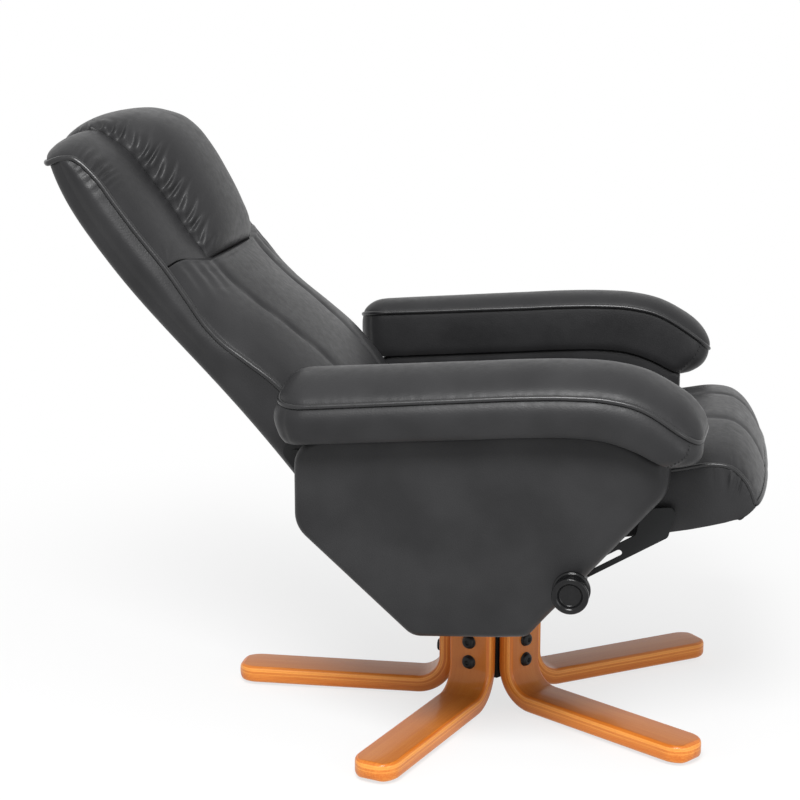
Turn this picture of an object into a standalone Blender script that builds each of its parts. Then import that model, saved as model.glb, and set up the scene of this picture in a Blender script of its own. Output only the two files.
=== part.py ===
# Swivel recliner: bentwood base, padded sides and arms, sliding seat and a back that swings on its side brackets.
# Metres, +Z up, +X the way the sitter faces, +Y the sitter's left. "Chair" coordinates have the swivel axis at X = 0.
import math

import bmesh
import bpy
import numpy as np
from mathutils import Matrix, Vector

# Clearances
GAP = 0.0003            # between pieces that touch
RUNNING = 0.0006        # around pins and studs
SLOT_PLAY = 0.0012      # around the link pin in its slot

# Base
SWIVEL_X = 0.1083       # swivel axis ahead of the middle of the whole chair
LEG_COUNT = 5
LEG_WIDTH = 0.070
LEG_THICK = 0.027
LEG_REACH = 0.412       # swivel axis to leg tip
LEG_BEND = 0.036        # inside radius of the bend
LEG_TIP_ROUND = 0.024   # corner radius of the tip, seen from above
LEG_EDGE = 0.004
LEG_TOP = 0.165
HUB_INRADIUS = 0.0495
HUB_BOTTOM = 0.046
HUB_BORE = 0.0230
GLIDE_RADIUS = 0.016
GLIDE_HEIGHT = 0.004
GLIDE_FROM_TIP = 0.040
LEG_BOLT_LOW = 0.0755
LEG_BOLT_PITCH = 0.033
LEG_BOLT_HEAD = 0.0100
LEG_BOLT_HEAD_HIGH = 0.0035
LEG_BOLT_SHANK = 0.0040
LEG_BOLT_DEPTH = 0.016  # shank length inside the hub

# Swivel
SPINDLE_RADIUS = 0.0150
SPINDLE_BOTTOM = 0.070
THRUST_RADIUS = 0.044
THRUST_HEIGHT = 0.009
COLLAR_RADIUS = 0.036
PLATE_BOTTOM = 0.213
PLATE_THICK = 0.005
PLATE_LENGTH = 0.200
PLATE_WIDTH = 0.190
PLATE_CORNER = 0.018
PLATE_BOLT_Y = 0.070
PLATE_BOLT_HEAD = 0.0075
PLATE_BOLT_SHANK = 0.0040
TUBE_X = (-0.050, 0.045)
TUBE_DEEP = 0.025
TUBE_HIGH = 0.030
TUBE_WALL = 0.0025

# Widths, measured from the middle plane outwards
BACK_HALF = 0.255       # outside of the back's side bands
GAP_TO_BAND = 0.0005    # stiles to the shell's side bands
SHELL_THICK = 0.0045
STEEL = 0.004           # brackets, hinge plates and slide plates
LINKAGE_ROOM = 0.017    # back to bracket: hinge plate, slide plate and washer
LINING_THICK = 0.016
BOARD_THICK = 0.016
SIDE_PAD_THICK = 0.0311
ARM_ROOM = 0.009        # back to arm
ARM_WIDE = 0.121
COVER_OVER = 0.007      # seat cushion beyond its rails
PAD_INSET = 0.002       # back cushions inside the side bands
WASHER_THICK = 0.0014
RAIL_OUT = BACK_HALF - SHELL_THICK - GAP_TO_BAND    # outer face of the seat's side rails and the back's stiles
BRACKET_IN = BACK_HALF + LINKAGE_ROOM
SIDE_OUT = BRACKET_IN + STEEL + LINING_THICK + BOARD_THICK + SIDE_PAD_THICK + 3 * GAP
ARM_IN = BACK_HALF + ARM_ROOM
ARM_OUT = ARM_IN + ARM_WIDE
SEAT_HALF = RAIL_OUT + COVER_OVER

# Side panels, side view
SIDE_REAR = -0.2415
SIDE_FRONT = 0.283
SIDE_REAR_LOW = 0.3593
SIDE_FRONT_LOW = 0.4297
SIDE_FOOT_REAR = (-0.072, 0.206)
SIDE_FOOT_FRONT = (0.0925, 0.2142)
SIDE_TOP_ROUND = 0.045
SIDE_REAR_ROUND = 0.045
SIDE_FOOT_ROUND = 0.038
SIDE_FRONT_ROUND = 0.050
SIDE_EDGE = 0.012       # rounding of the padded faces
EAR_RADIUS = 0.018      # ear of the panel round the knob's stud

# Recline geometry, side view
PIVOT = (-0.215, 0.440)
LEAN = math.radians(37.4)       # back from the vertical, at rest
RECLINE = math.radians(24.2)    # swing from the reclined rest pose to upright
STUD = (0.153, 0.289)           # clamp stud of the hand knob
SLIDE_ANGLE = math.radians(30)
LINK_RADIUS = 0.167             # pivot to the pin that drives the seat
SEAT_TRAVEL = 2 * LINK_RADIUS * math.sin(RECLINE / 2)
PIVOT_RADIUS = 0.006
PIVOT_SHOULDER = 0.010
STUD_RADIUS = 0.004
LINK_PIN = 0.005

# Arms, side view
ARM_REAR = -0.252
ARM_TIP = 0.327
ARM_SLOPE = 0.0693
ARM_BASE = 0.5056       # underside at the swivel axis
ARM_OUTER = 0.0545      # height of the outer side
ARM_CANT = 0.019        # inner edge above the outer edge
ARM_CROWN = 0.027
ARM_DROOP_FROM = 0.130
ARM_DROOP = 0.045       # drop of the underside at ARM_DROOP_TO
ARM_DROOP_TO = 0.281
ARM_TOP_DROOP_FROM = 0.150
ARM_TOP_DROOP = 0.0773  # drop of the edges at ARM_TOP_DROOP_TO
ARM_TOP_DROOP_TO = 0.318
ARM_NOSE = 0.050        # length of the rounded tip
ARM_END_ROUND = 0.016
ARM_BOARD_THICK = 0.014
ARM_BOARD_INSET = 0.016

# Knob
KNOB_RADIUS = 0.027
KNOB_HEIGHT = 0.034
KNOB_SKIRT = 0.0295
KNOB_SKIRT_HIGH = 0.006
KNOB_DISH = 0.0155
KNOB_DISH_DEEP = 0.007
KNOB_BUTTON = 0.0115
KNOB_BUTTON_HIGH = 0.005
STUD_IN_KNOB = 0.014
NUT_RADIUS = 0.0085
NUT_HIGH = 0.0075
WASHER_RADIUS = 0.0115

# Slide plates and seat bolts
SLIDE_BOLTS_X = (0.106, 0.130)
SLIDE_HALF = 0.0120
SLIDE_TAIL = 0.016      # plate behind the stud, at rest
SLIDE_NOSE = 0.072      # plate ahead of the slot
SLIDE_CORNER = 0.010
SLIDE_WAIST = 0.034     # bar ahead of the slot, before it rises to the bolts
SEAT_BOLT = 0.0035

# Seat, in its own pitched frame: x forward, z up from the top of the rails
SEAT_REF = (0.150, 0.385)
SEAT_PITCH = math.radians(8)
RAIL_WIDTH = 0.024
RAIL_HIGH = 0.040
SEAT_FRAME_REAR = -0.235
SEAT_FRAME_FRONT = 0.224
WEB_COUNT = 5           # straps each way
WEB_WIDTH = 0.050
WEB_EDGE = 0.004        # straps stop short of the rails' outer faces
WEB_THICK = 0.002
CUSHION_REAR = -0.262
CUSHION_TAPER = 0.013   # drawn in at the rear, between the hinge plates
CUSHION_TAPER_LONG = 0.075
CUSHION_EDGE = 0.040    # height of the piped edge
CUSHION_CROWN = 0.044
CUSHION_FRONT = 0.030   # thickness of the apron in front of the front rail, at its sides
CUSHION_FRONT_CROWN = 0.018
CUSHION_APRON = 0.040   # apron below the top of the rails
CHANNEL_Y = 0.086       # the two sewn seams
CHANNEL_DEEP = 0.010
CHANNEL_WIDE = 0.020

# Back, in its own leaning frame: x to the sitter, z up the back, from the pivot
BACK_FOOT = -0.158
BACK_TOP = 0.577
BACK_REAR = -0.0535     # rear of the shell at its foot
SHOULDER = 0.030        # rearward swell of the shell
SHOULDER_AT = 0.380
SHOULDER_LONG = 0.200
BACK_FRONT = -0.0110    # front of the stiles and the shell at the foot
BACK_WAIST = 0.017      # set back above the waist
WAIST_LOW = 0.130
WAIST_HIGH = 0.240
BACK_TOP_ROUND = 0.022
BACK_TOP_LONG = 0.062
STILE_WIDTH = 0.022
STILE_TOP = 0.515
SHELL_ROUND = 0.012
SHELL_CAMBER = 0.004    # rearward bow of the shell between its sides
BACK_RAIL_THICK = 0.018
BACK_RAIL_HIGH = 0.050
BACK_RAILS = {"back_rail_bottom": -0.095, "back_rail_top": 0.455}
LUMBAR_FOOT = -0.048    # foot of the padded part
FLAP_FOOT = -0.146      # the cover runs on down behind the seat
FLAP_INSET = 0.033      # sides of that flap inside the side bands
FLAP_THICK = 0.007
LUMBAR_TOP = 0.333
LUMBAR_FACE = 0.064     # middle of the lower cushion ahead of the pivot, at its fullest
LUMBAR_TOP_FACE = 0.015 # the same at its top
LUMBAR_FULL = 0.070     # from here up it thins
LUMBAR_EDGE = 0.012
HEAD_OVER = 0.042       # head pillow above the top of the shell
HEAD_HALF = 0.128
HEAD_FACE = 0.083       # middle of the head pillow ahead of the pivot
HEAD_EDGE = 0.014
WING_EDGE = 0.012
WING_CROWN = 0.018
WING_OVER = 0.010       # wings above the top of the shell
WING_LIFT = 0.018       # wings fuller beside the pillow
WING_RISE = 0.016       # wings higher beside the pillow

# Finishes: colour, roughness, metallic
FINISHES = {
    "lacquered_bentwood": ((0.52, 0.20, 0.045), 0.28, 0.0),
    "black_faux_leather": ((0.016, 0.016, 0.017), 0.42, 0.0),
    "plywood": ((0.55, 0.40, 0.24), 0.65, 0.0),
    "black_steel": ((0.020, 0.020, 0.022), 0.40, 0.9),
    "zinc_steel": ((0.55, 0.56, 0.58), 0.30, 1.0),
    "black_plastic": ((0.012, 0.012, 0.013), 0.25, 0.0),
    "bearing_plastic": ((0.70, 0.70, 0.66), 0.45, 0.0),
    "elastic_web": ((0.10, 0.10, 0.10), 0.80, 0.0),
}

for leftover in list(bpy.data.objects):
    bpy.data.objects.remove(leftover, do_unlink=True)

parts = bpy.data.collections.new("recliner")
cutters = bpy.data.collections.new("recliner_cutters")
bpy.context.scene.collection.children.link(parts)
bpy.context.scene.collection.children.link(cutters)


# Frames of the moving bodies
def body_frame(name, place, tilt=0.0):
    frame = bpy.data.objects.new(name, None)
    frame.location = place
    frame.rotation_euler = (0.0, tilt, 0.0)
    frame.empty_display_size = 0.05
    parts.objects.link(frame)
    frame.parent = bodies.get("chair")
    return frame


bodies = {}
bodies["chair"] = body_frame("chair_frame", (SWIVEL_X, 0, 0))
bodies["base"] = body_frame("base_frame", (0, 0, 0))
bodies["swivel"] = body_frame("swivel_frame", (0, 0, 0))
bodies["seat"] = body_frame("seat_frame", (SEAT_REF[0], 0, SEAT_REF[1]), -SEAT_PITCH)
bodies["back"] = body_frame("back_frame", (PIVOT[0], 0, PIVOT[1]), -LEAN)
bodies["knob_right"] = body_frame("knob_right_frame", (STUD[0], -SIDE_OUT, STUD[1]))
bodies["knob_left"] = body_frame("knob_left_frame", (STUD[0], SIDE_OUT, STUD[1]))


def add_part(name, mesh, body, finish, in_chair=True):
    colour, roughness, metallic = FINISHES[finish]
    material = bpy.data.materials.new(name + "_" + finish)
    material.use_nodes = True
    shader = material.node_tree.nodes["Principled BSDF"]
    shader.inputs["Base Color"].default_value = (*colour, 1.0)
    shader.inputs["Roughness"].default_value = roughness
    shader.inputs["Metallic"].default_value = metallic
    part = bpy.data.objects.new(name, mesh)
    part.data.materials.append(material)
    part.data.shade_smooth()
    part.data.set_sharp_from_angle(angle=math.radians(35))
    parts.objects.link(part)
    part.parent = bodies[body]
    if in_chair:
        part.matrix_parent_inverse = bodies[body].matrix_basis.inverted()
    return part


# Shared modelling steps
def finished(mesh_data):
    mesh = bpy.data.meshes.new("solid")
    bmesh.ops.recalc_face_normals(mesh_data, faces=mesh_data.faces)
    mesh_data.to_mesh(mesh)
    mesh_data.free()
    return mesh


def evaluated_mesh(source):
    graph = bpy.context.evaluated_depsgraph_get()
    mesh = bpy.data.meshes.new_from_object(source.evaluated_get(graph))
    welded = bmesh.new()
    welded.from_mesh(mesh)
    bmesh.ops.remove_doubles(welded, verts=welded.verts, dist=0.000005)
    bpy.data.objects.remove(source, do_unlink=True)
    bpy.data.meshes.remove(mesh)
    return finished(welded)


def rounded(corners, steps=3):
    # closed outline through corners (x, z, radius), each corner a tangent arc
    outline = []
    for index, (x, z, radius) in enumerate(corners):
        here = np.array((x, z))
        if radius == 0:
            outline.append(tuple(here))
            continue
        before = np.array(corners[index - 1][:2]) - here
        after = np.array(corners[(index + 1) % len(corners)][:2]) - here
        before = before / np.linalg.norm(before)
        after = after / np.linalg.norm(after)
        half = math.acos(float(before @ after)) / 2
        middle = (before + after) / np.linalg.norm(before + after)
        centre = here + middle * radius / math.sin(half)
        start = here + before * radius / math.tan(half) - centre
        end = here + after * radius / math.tan(half) - centre
        for share in np.linspace(0, 1, steps + 1):
            spoke = start * (1 - share) + end * share
            outline.append(tuple(centre + spoke * radius / np.linalg.norm(spoke)))
    return outline


def circle(centre, radius, sides=12):
    angles = np.arange(sides) * 2 * math.pi / sides
    return [(centre[0] + radius * math.cos(a), centre[1] + radius * math.sin(a)) for a in angles]


def stadium(start, end, radius, steps=6):
    # slot outline with round ends
    run = math.atan2(end[1] - start[1], end[0] - start[0])
    outline = []
    for centre, turn in ((end, run - math.pi / 2), (start, run + math.pi / 2)):
        for share in np.linspace(0, math.pi, steps + 1):
            outline.append((centre[0] + radius * math.cos(turn + share),
                            centre[1] + radius * math.sin(turn + share)))
    return outline


def flat_mesh(outlines, thickness):
    # filled outline with holes, extruded about its own plane
    curve = bpy.data.curves.new("outline", "CURVE")
    curve.dimensions = "2D"
    curve.fill_mode = "BOTH"
    curve.extrude = thickness / 2
    for outline in outlines:
        spline = curve.splines.new("POLY")
        spline.points.add(len(outline) - 1)
        spline.use_cyclic_u = True
        for point, (x, y) in zip(spline.points, outline):
            point.co = (x, y, 0, 1)
    sketch = bpy.data.objects.new("outline", curve)
    bpy.context.scene.collection.objects.link(sketch)
    return evaluated_mesh(sketch)


def upright_mesh(outlines, low, high):
    # an outline in the side view, between two distances along Y
    low, high = min(low, high), max(low, high)
    mesh = flat_mesh(outlines, high - low)
    mesh.transform(Matrix.Translation((0, (low + high) / 2, 0)) @ Matrix.Rotation(math.pi / 2, 4, "X"))
    return mesh


def level_mesh(outlines, low, high):
    mesh = flat_mesh(outlines, high - low)
    mesh.transform(Matrix.Translation((0, 0, (low + high) / 2)))
    return mesh


def turned_mesh(profile, sides=20, closed=False):
    # profile of (radius, height), down its outer side, turned about Z
    outline = bpy.data.meshes.new("profile")
    count = len(profile)
    edges = [(i, i + 1) for i in range(count - 1)]
    if closed:
        edges.append((count - 1, 0))
    outline.from_pydata([(radius, 0, height) for radius, height in profile], edges, [])
    lathe = bpy.data.objects.new("profile", outline)
    bpy.context.scene.collection.objects.link(lathe)
    screw = lathe.modifiers.new("turn", "SCREW")
    screw.steps = sides
    screw.render_steps = sides
    screw.use_merge_vertices = True
    screw.merge_threshold = 0.00001
    return evaluated_mesh(lathe)


def copies_mesh(mesh, places):
    group = bmesh.new()
    for place in places:
        copy = mesh.copy()
        copy.transform(place)
        group.from_mesh(copy)
        bpy.data.meshes.remove(copy)
    return finished(group)


def loft_mesh(rings):
    # skin through rings of equal counts, both ends filled
    skin = bmesh.new()
    loops = [[skin.verts.new(point) for point in ring] for ring in rings]
    count = len(loops[0])
    for first, second in zip(loops, loops[1:]):
        for i in range(count):
            j = (i + 1) % count
            skin.faces.new((first[i], first[j], second[j], second[i]))
    skin.faces.new(loops[0])
    skin.faces.new(loops[-1])
    return finished(skin)


def box_mesh(low, high):
    box = bmesh.new()
    bmesh.ops.create_cube(box, size=1.0)
    size = Vector(high) - Vector(low)
    middle = (Vector(high) + Vector(low)) / 2
    bmesh.ops.transform(box, matrix=Matrix.Translation(middle) @ Matrix.Diagonal((*size, 1)), verts=box.verts)
    return finished(box)


def cut(part, mesh, body, name, in_chair=True, operation="DIFFERENCE"):
    cutter = bpy.data.objects.new(name, mesh)
    cutter.hide_render = True
    cutter.display_type = "WIRE"
    cutters.objects.link(cutter)
    cutter.parent = bodies[body]
    if in_chair:
        cutter.matrix_parent_inverse = bodies[body].matrix_basis.inverted()
    boolean = part.modifiers.new(name, "BOOLEAN")
    boolean.operation = operation
    boolean.solver = "EXACT"
    boolean.object = cutter


def weld_on(part, mesh, body, name, in_chair=True):
    cut(part, mesh, body, name, in_chair, "UNION")


def along_y(place, side):
    # turns Z to the outward side direction and moves it to a place
    return Matrix.Translation(place) @ Matrix.Rotation(-side * math.pi / 2, 4, "X")


def rod_mesh(radius, low, high, sides=16):
    return turned_mesh([(0, high), (radius, high), (radius, low), (0, low)], sides)


SIDES = {"right": -1, "left": 1}

# Layers of the side, from the middle outwards
bracket_out = BRACKET_IN + STEEL
lining_in = bracket_out + GAP
board_in = lining_in + LINING_THICK + GAP
pad_in = SIDE_OUT - SIDE_PAD_THICK
slide_out = BRACKET_IN - WASHER_THICK - 2 * GAP
slide_in = slide_out - STEEL
hinge_in = BACK_HALF + GAP
hinge_out = hinge_in + STEEL

# Directions of the slide, and the link pin at rest
slide_way = np.array((math.cos(SLIDE_ANGLE), math.sin(SLIDE_ANGLE)))
slide_up = np.array((-math.sin(SLIDE_ANGLE), math.cos(SLIDE_ANGLE)))
link_angle = SLIDE_ANGLE + RECLINE / 2
link_from_pivot = LINK_RADIUS * np.array((math.sin(link_angle), -math.cos(link_angle)))
link_at = np.array(PIVOT) + link_from_pivot
link_sag = LINK_RADIUS * (1 - math.cos(RECLINE / 2))
stud_at = np.array(STUD)


# Base: legs, hub, bolts, glides and bearings
def leg_rings():
    # chamfered sections from the tip along the floor, round the bend and up to the top
    floor_line = GLIDE_HEIGHT + GAP + LEG_THICK / 2
    upright = HUB_INRADIUS + GAP + LEG_THICK / 2
    bend = LEG_BEND + LEG_THICK / 2
    stations = []
    for angle, thin in zip(np.linspace(0, math.pi / 2, 5), (0.7, 0.25, 0, 0, 0)):
        stations.append((LEG_REACH - LEG_TIP_ROUND * (1 - math.cos(angle)), floor_line, 0.0,
                         LEG_WIDTH / 2 - LEG_TIP_ROUND * (1 - math.sin(angle)), LEG_THICK / 2 - thin * LEG_EDGE))
    for turn in np.linspace(0, math.pi / 2, 8):
        stations.append((upright + bend * (1 - math.sin(turn)), floor_line + bend * (1 - math.cos(turn)), turn,
                         LEG_WIDTH / 2, LEG_THICK / 2))
    stations.append((upright, LEG_TOP, math.pi / 2, LEG_WIDTH / 2, LEG_THICK / 2))
    rings = []
    for r, z, turn, wide, thick in stations:
        section = [(wide - LEG_EDGE, -thick), (wide, LEG_EDGE - thick), (wide, thick - LEG_EDGE), (wide - LEG_EDGE, thick)]
        section += [(-w, t) for w, t in reversed(section)]
        rings.append([(r + math.sin(turn) * t, w, z + math.cos(turn) * t) for w, t in section])
    return rings


def leg_turn(index):
    return Matrix.Rotation(math.pi + index * 2 * math.pi / LEG_COUNT, 4, "Z")


leg_face = HUB_INRADIUS + 2 * GAP + LEG_THICK
bolt_heights = (LEG_BOLT_LOW, LEG_BOLT_LOW + LEG_BOLT_PITCH)
bolt_places = [leg_turn(i) @ Matrix.Translation((leg_face, 0, z)) @ Matrix.Rotation(math.pi / 2, 4, "Y")
               for i in range(LEG_COUNT) for z in bolt_heights]
bolt_hole = rod_mesh(LEG_BOLT_SHANK + RUNNING, -2 * LEG_THICK, LEG_THICK, 10)
for i in range(LEG_COUNT):
    leg = add_part(f"base_leg_{i + 1}", loft_mesh(leg_rings()), "base", "lacquered_bentwood")
    leg.rotation_euler = (0, 0, leg_turn(i).to_euler().z)
    cut(leg, copies_mesh(bolt_hole, bolt_places[2 * i:2 * i + 2]), "base", f"leg_bolt_holes_{i + 1}")

hub_round = HUB_INRADIUS / math.cos(math.pi / LEG_COUNT)
hub_shape = circle((0, 0), hub_round, LEG_COUNT)
hub_turn = Matrix.Rotation(math.pi / LEG_COUNT + math.pi, 4, "Z")
hub = level_mesh([hub_shape, circle((0, 0), HUB_BORE, 24)], HUB_BOTTOM, LEG_TOP)
hub.transform(hub_turn)
hub_core = add_part("hub_core", hub, "base", "black_steel")
head, high, shank = LEG_BOLT_HEAD, LEG_BOLT_HEAD_HIGH, LEG_BOLT_SHANK
bolt_end = GAP - LEG_THICK - LEG_BOLT_DEPTH
bolt = turned_mesh([(0, high), (head * 0.70, high), (head, high * 0.4), (head, GAP), (shank, GAP),
                    (shank, bolt_end), (0, bolt_end)], 10)
weld_on(hub_core, copies_mesh(bolt, bolt_places), "base", "leg_bolts")

glide = turned_mesh([(0, GLIDE_HEIGHT), (GLIDE_RADIUS, GLIDE_HEIGHT), (GLIDE_RADIUS, 0.001),
                     (GLIDE_RADIUS - 0.001, 0), (0, 0)], 12)
for i in range(LEG_COUNT):
    foot = glide.copy()
    foot.transform(leg_turn(i) @ Matrix.Translation((LEG_REACH - GLIDE_FROM_TIP, 0, 0)))
    add_part(f"floor_glide_{i + 1}", foot, "base", "black_plastic")

bush_in = SPINDLE_RADIUS + RUNNING
bush_out = HUB_BORE - GAP
bush = turned_mesh([(bush_in, LEG_TOP), (bush_out, LEG_TOP), (bush_out, SPINDLE_BOTTOM),
                    (bush_in, SPINDLE_BOTTOM)], 24, True)
add_part("spindle_bush", bush, "base", "bearing_plastic")

thrust_low = LEG_TOP + GAP
thrust_high = thrust_low + THRUST_HEIGHT
thrust = turned_mesh([(bush_in, thrust_high), (COLLAR_RADIUS, thrust_high), (THRUST_RADIUS, thrust_high - 0.003),
                      (THRUST_RADIUS, thrust_low), (bush_in, thrust_low)], 24, True)
add_part("thrust_bearing", thrust, "base", "bearing_plastic")

# Swivel frame: spindle, plate and cross tubes
collar_low = thrust_high + GAP
collar_high = PLATE_BOTTOM - GAP
spindle = turned_mesh([(0, collar_high), (COLLAR_RADIUS + 0.014, collar_high),
                       (COLLAR_RADIUS + 0.014, collar_high - 0.006), (COLLAR_RADIUS, collar_high - 0.014),
                       (COLLAR_RADIUS, collar_low), (SPINDLE_RADIUS, collar_low),
                       (SPINDLE_RADIUS, SPINDLE_BOTTOM), (0, SPINDLE_BOTTOM)], 24)
add_part("swivel_spindle", spindle, "swivel", "black_steel")

plate_bolts_at = [(x, y) for x in TUBE_X for y in (-PLATE_BOLT_Y, PLATE_BOLT_Y)]
plate_half = (PLATE_LENGTH / 2, PLATE_WIDTH / 2)
plate_shape = rounded([(sx * plate_half[0], sy * plate_half[1], PLATE_CORNER)
                       for sx, sy in ((-1, -1), (1, -1), (1, 1), (-1, 1))])
plate_top = PLATE_BOTTOM + PLATE_THICK
plate = add_part("swivel_plate", level_mesh([plate_shape], PLATE_BOTTOM, plate_top), "swivel", "black_steel")

tube_low = plate_top + GAP
tube_high = tube_low + TUBE_HIGH
for name, x in zip(("cross_tube_rear", "cross_tube_front"), TUBE_X):
    outer = rounded([(x - TUBE_DEEP / 2, tube_low, 0.004), (x + TUBE_DEEP / 2, tube_low, 0.004),
                     (x + TUBE_DEEP / 2, tube_high, 0.004), (x - TUBE_DEEP / 2, tube_high, 0.004)], 2)
    inner = rounded([(x - TUBE_DEEP / 2 + TUBE_WALL, tube_low + TUBE_WALL, 0.002),
                     (x + TUBE_DEEP / 2 - TUBE_WALL, tube_low + TUBE_WALL, 0.002),
                     (x + TUBE_DEEP / 2 - TUBE_WALL, tube_high - TUBE_WALL, 0.002),
                     (x - TUBE_DEEP / 2 + TUBE_WALL, tube_high - TUBE_WALL, 0.002)], 2)
    tube = add_part(name, upright_mesh([outer, inner], GAP - BRACKET_IN, BRACKET_IN - GAP), "swivel", "black_steel")
    hole = rod_mesh(PLATE_BOLT_SHANK + RUNNING, tube_low - 0.004, tube_low + TUBE_WALL + 0.004, 12)
    holes = [Matrix.Translation((x, y, 0)) for y in (-PLATE_BOLT_Y, PLATE_BOLT_Y)]
    cut(tube, copies_mesh(hole, holes), "swivel", name + "_bolt_holes")

plate_bolt_end = tube_low + TUBE_WALL + 0.008
plate_bolt = turned_mesh([(0, plate_bolt_end), (PLATE_BOLT_SHANK, plate_bolt_end),
                          (PLATE_BOLT_SHANK, PLATE_BOTTOM + GAP), (PLATE_BOLT_HEAD, PLATE_BOTTOM + GAP),
                          (PLATE_BOLT_HEAD, PLATE_BOTTOM - 0.005), (0, PLATE_BOTTOM - 0.005)], 10)
weld_on(plate, copies_mesh(plate_bolt, [Matrix.Translation((x, y, 0)) for x, y in plate_bolts_at]),
        "swivel", "plate_bolts")


# Arms: heights of the underside, edges and crown along the arm
def droop(x, start, end, drop, power=2.0):
    return drop * np.clip((x - start) / (end - start), 0, None) ** power


def nose_share(x):
    # 1 along the arm, falling to 0 at the tip as a quarter ellipse
    return np.sqrt(np.clip(1 - np.clip((x - ARM_TIP + ARM_NOSE) / ARM_NOSE, 0, 1) ** 2, 0, 1))


def end_share(x):
    # the rear corners, rounded in plan
    inset = np.clip(1 - (x - ARM_REAR) / ARM_END_ROUND, 0, 1)
    return 1 - ARM_END_ROUND / (ARM_OUT - ARM_IN) * 2 * (1 - np.sqrt(1 - 0.9 * inset ** 2))


arm_at = np.array((ARM_REAR, ARM_REAR + 0.005, ARM_REAR + 0.016, -0.16, -0.08, 0, 0.07, ARM_DROOP_FROM, 0.16, 0.19,
                   0.215, 0.24, 0.26, ARM_TIP - 0.048, ARM_TIP - 0.034, ARM_TIP - 0.020, ARM_TIP - 0.010,
                   ARM_TIP - 0.004, ARM_TIP))
arm_under = ARM_BASE + ARM_SLOPE * arm_at - droop(arm_at, ARM_DROOP_FROM, ARM_DROOP_TO, ARM_DROOP)
arm_edge = ARM_BASE + ARM_OUTER + ARM_SLOPE * arm_at - droop(
    arm_at, ARM_TOP_DROOP_FROM, ARM_TOP_DROOP_TO, ARM_TOP_DROOP, 2.2)
nose_height = np.interp(ARM_TIP - 0.008, arm_at, arm_edge)
arm_round = nose_share(arm_at)
arm_low = nose_height + (arm_under - nose_height) * np.where(arm_at > ARM_TIP - ARM_NOSE, arm_round, 1)
arm_wide = np.maximum(np.minimum(end_share(arm_at), np.sqrt(arm_round)), 0.16)


def arm_bottom(x):
    return float(np.interp(x, arm_at, arm_low))


def arm_ring(index, side):
    # one section, from the outer lower edge over the crown to the inner lower edge
    middle = (ARM_IN + ARM_OUT) / 2
    half = (ARM_OUT - ARM_IN) / 2 * arm_wide[index]
    low = arm_low[index]
    rise = np.sqrt(arm_round[index])
    edge = max(arm_edge[index], low + 0.004)
    cant = ARM_CANT * rise
    crown = ARM_CROWN * rise
    across = np.linspace(1, -1, 9)
    top = edge + cant * (1 - across) / 2 + crown * (1 - across ** 2) ** 0.8
    ring = [(0.93, low), (0.985, low + 0.25 * (edge - low)), (1.0, low + 0.6 * (edge - low))]
    ring += list(zip(across, top))
    ring += [(-1.0, low + 0.6 * (top[-1] - low)), (-0.985, low + 0.25 * (top[-1] - low)), (-0.93, low)]
    return [(arm_at[index], side * (middle + y * half), z) for y, z in ring]


board_rear = ARM_REAR + ARM_BOARD_INSET
board_front = ARM_TIP - ARM_NOSE
board_points = [x for x in arm_at if board_rear < x < board_front]
board_line = [(x, arm_bottom(x)) for x in [board_rear] + board_points + [board_front]]


def arm_board_outline(grow, below):
    upper = [(x, z + ARM_BOARD_THICK + grow) for x, z in reversed(board_line)]
    lower = [(x, z - below) for x, z in board_line]
    lower[0] = (lower[0][0] - grow, lower[0][1])
    lower[-1] = (lower[-1][0] + grow, lower[-1][1])
    upper[0] = (upper[0][0] + grow, upper[0][1])
    upper[-1] = (upper[-1][0] - grow, upper[-1][1])
    return lower + upper


# Side panels: one outline for the board, the outer pad and the lining
def panel_outline():
    foot, knee = np.array(SIDE_FOOT_FRONT), np.array((SIDE_FRONT, SIDE_FRONT_LOW))
    edge_way = (knee - foot) / np.linalg.norm(knee - foot)
    edge_in = np.array((-edge_way[1], edge_way[0]))
    inside = float((stud_at - foot) @ edge_in)
    reach = math.acos(inside / EAR_RADIUS)
    out_angle = math.atan2(-edge_in[1], -edge_in[0])
    ear = [(*(stud_at + EAR_RADIUS * np.array((math.cos(a), math.sin(a)))), 0)
           for a in np.linspace(out_angle - reach, out_angle + reach, 9)]
    top = [(x, arm_bottom(x) - GAP, 0) for x in reversed(arm_at) if SIDE_REAR + SIDE_TOP_ROUND < x < SIDE_FRONT]
    corners = [(SIDE_REAR, arm_bottom(SIDE_REAR) - GAP, SIDE_TOP_ROUND),
               (SIDE_REAR, SIDE_REAR_LOW, SIDE_REAR_ROUND), (*SIDE_FOOT_REAR, SIDE_FOOT_ROUND),
               (*SIDE_FOOT_FRONT, SIDE_FOOT_ROUND)] + ear
    corners += [(SIDE_FRONT, SIDE_FRONT_LOW, SIDE_FRONT_ROUND), (SIDE_FRONT, arm_bottom(SIDE_FRONT) - GAP, 0)]
    return rounded(corners + top)


def inset_outline(outline, distance):
    # each point moved inwards along the mean normal of its two edges
    points = np.array(outline)
    before = points - np.roll(points, 1, axis=0)
    after = np.roll(points, -1, axis=0) - points
    before /= np.linalg.norm(before, axis=1)[:, None]
    after /= np.linalg.norm(after, axis=1)[:, None]
    area = np.sum(points[:, 0] * np.roll(points[:, 1], -1) - np.roll(points[:, 0], -1) * points[:, 1])
    turn = math.copysign(1, area)
    normal = turn * np.stack((-(before + after)[:, 1], (before + after)[:, 0]), axis=1)
    length = np.linalg.norm(normal, axis=1)[:, None]
    stretch = 1 / np.clip(length / 2, 0.5, 1)
    return points + normal / length * stretch * distance


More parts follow.
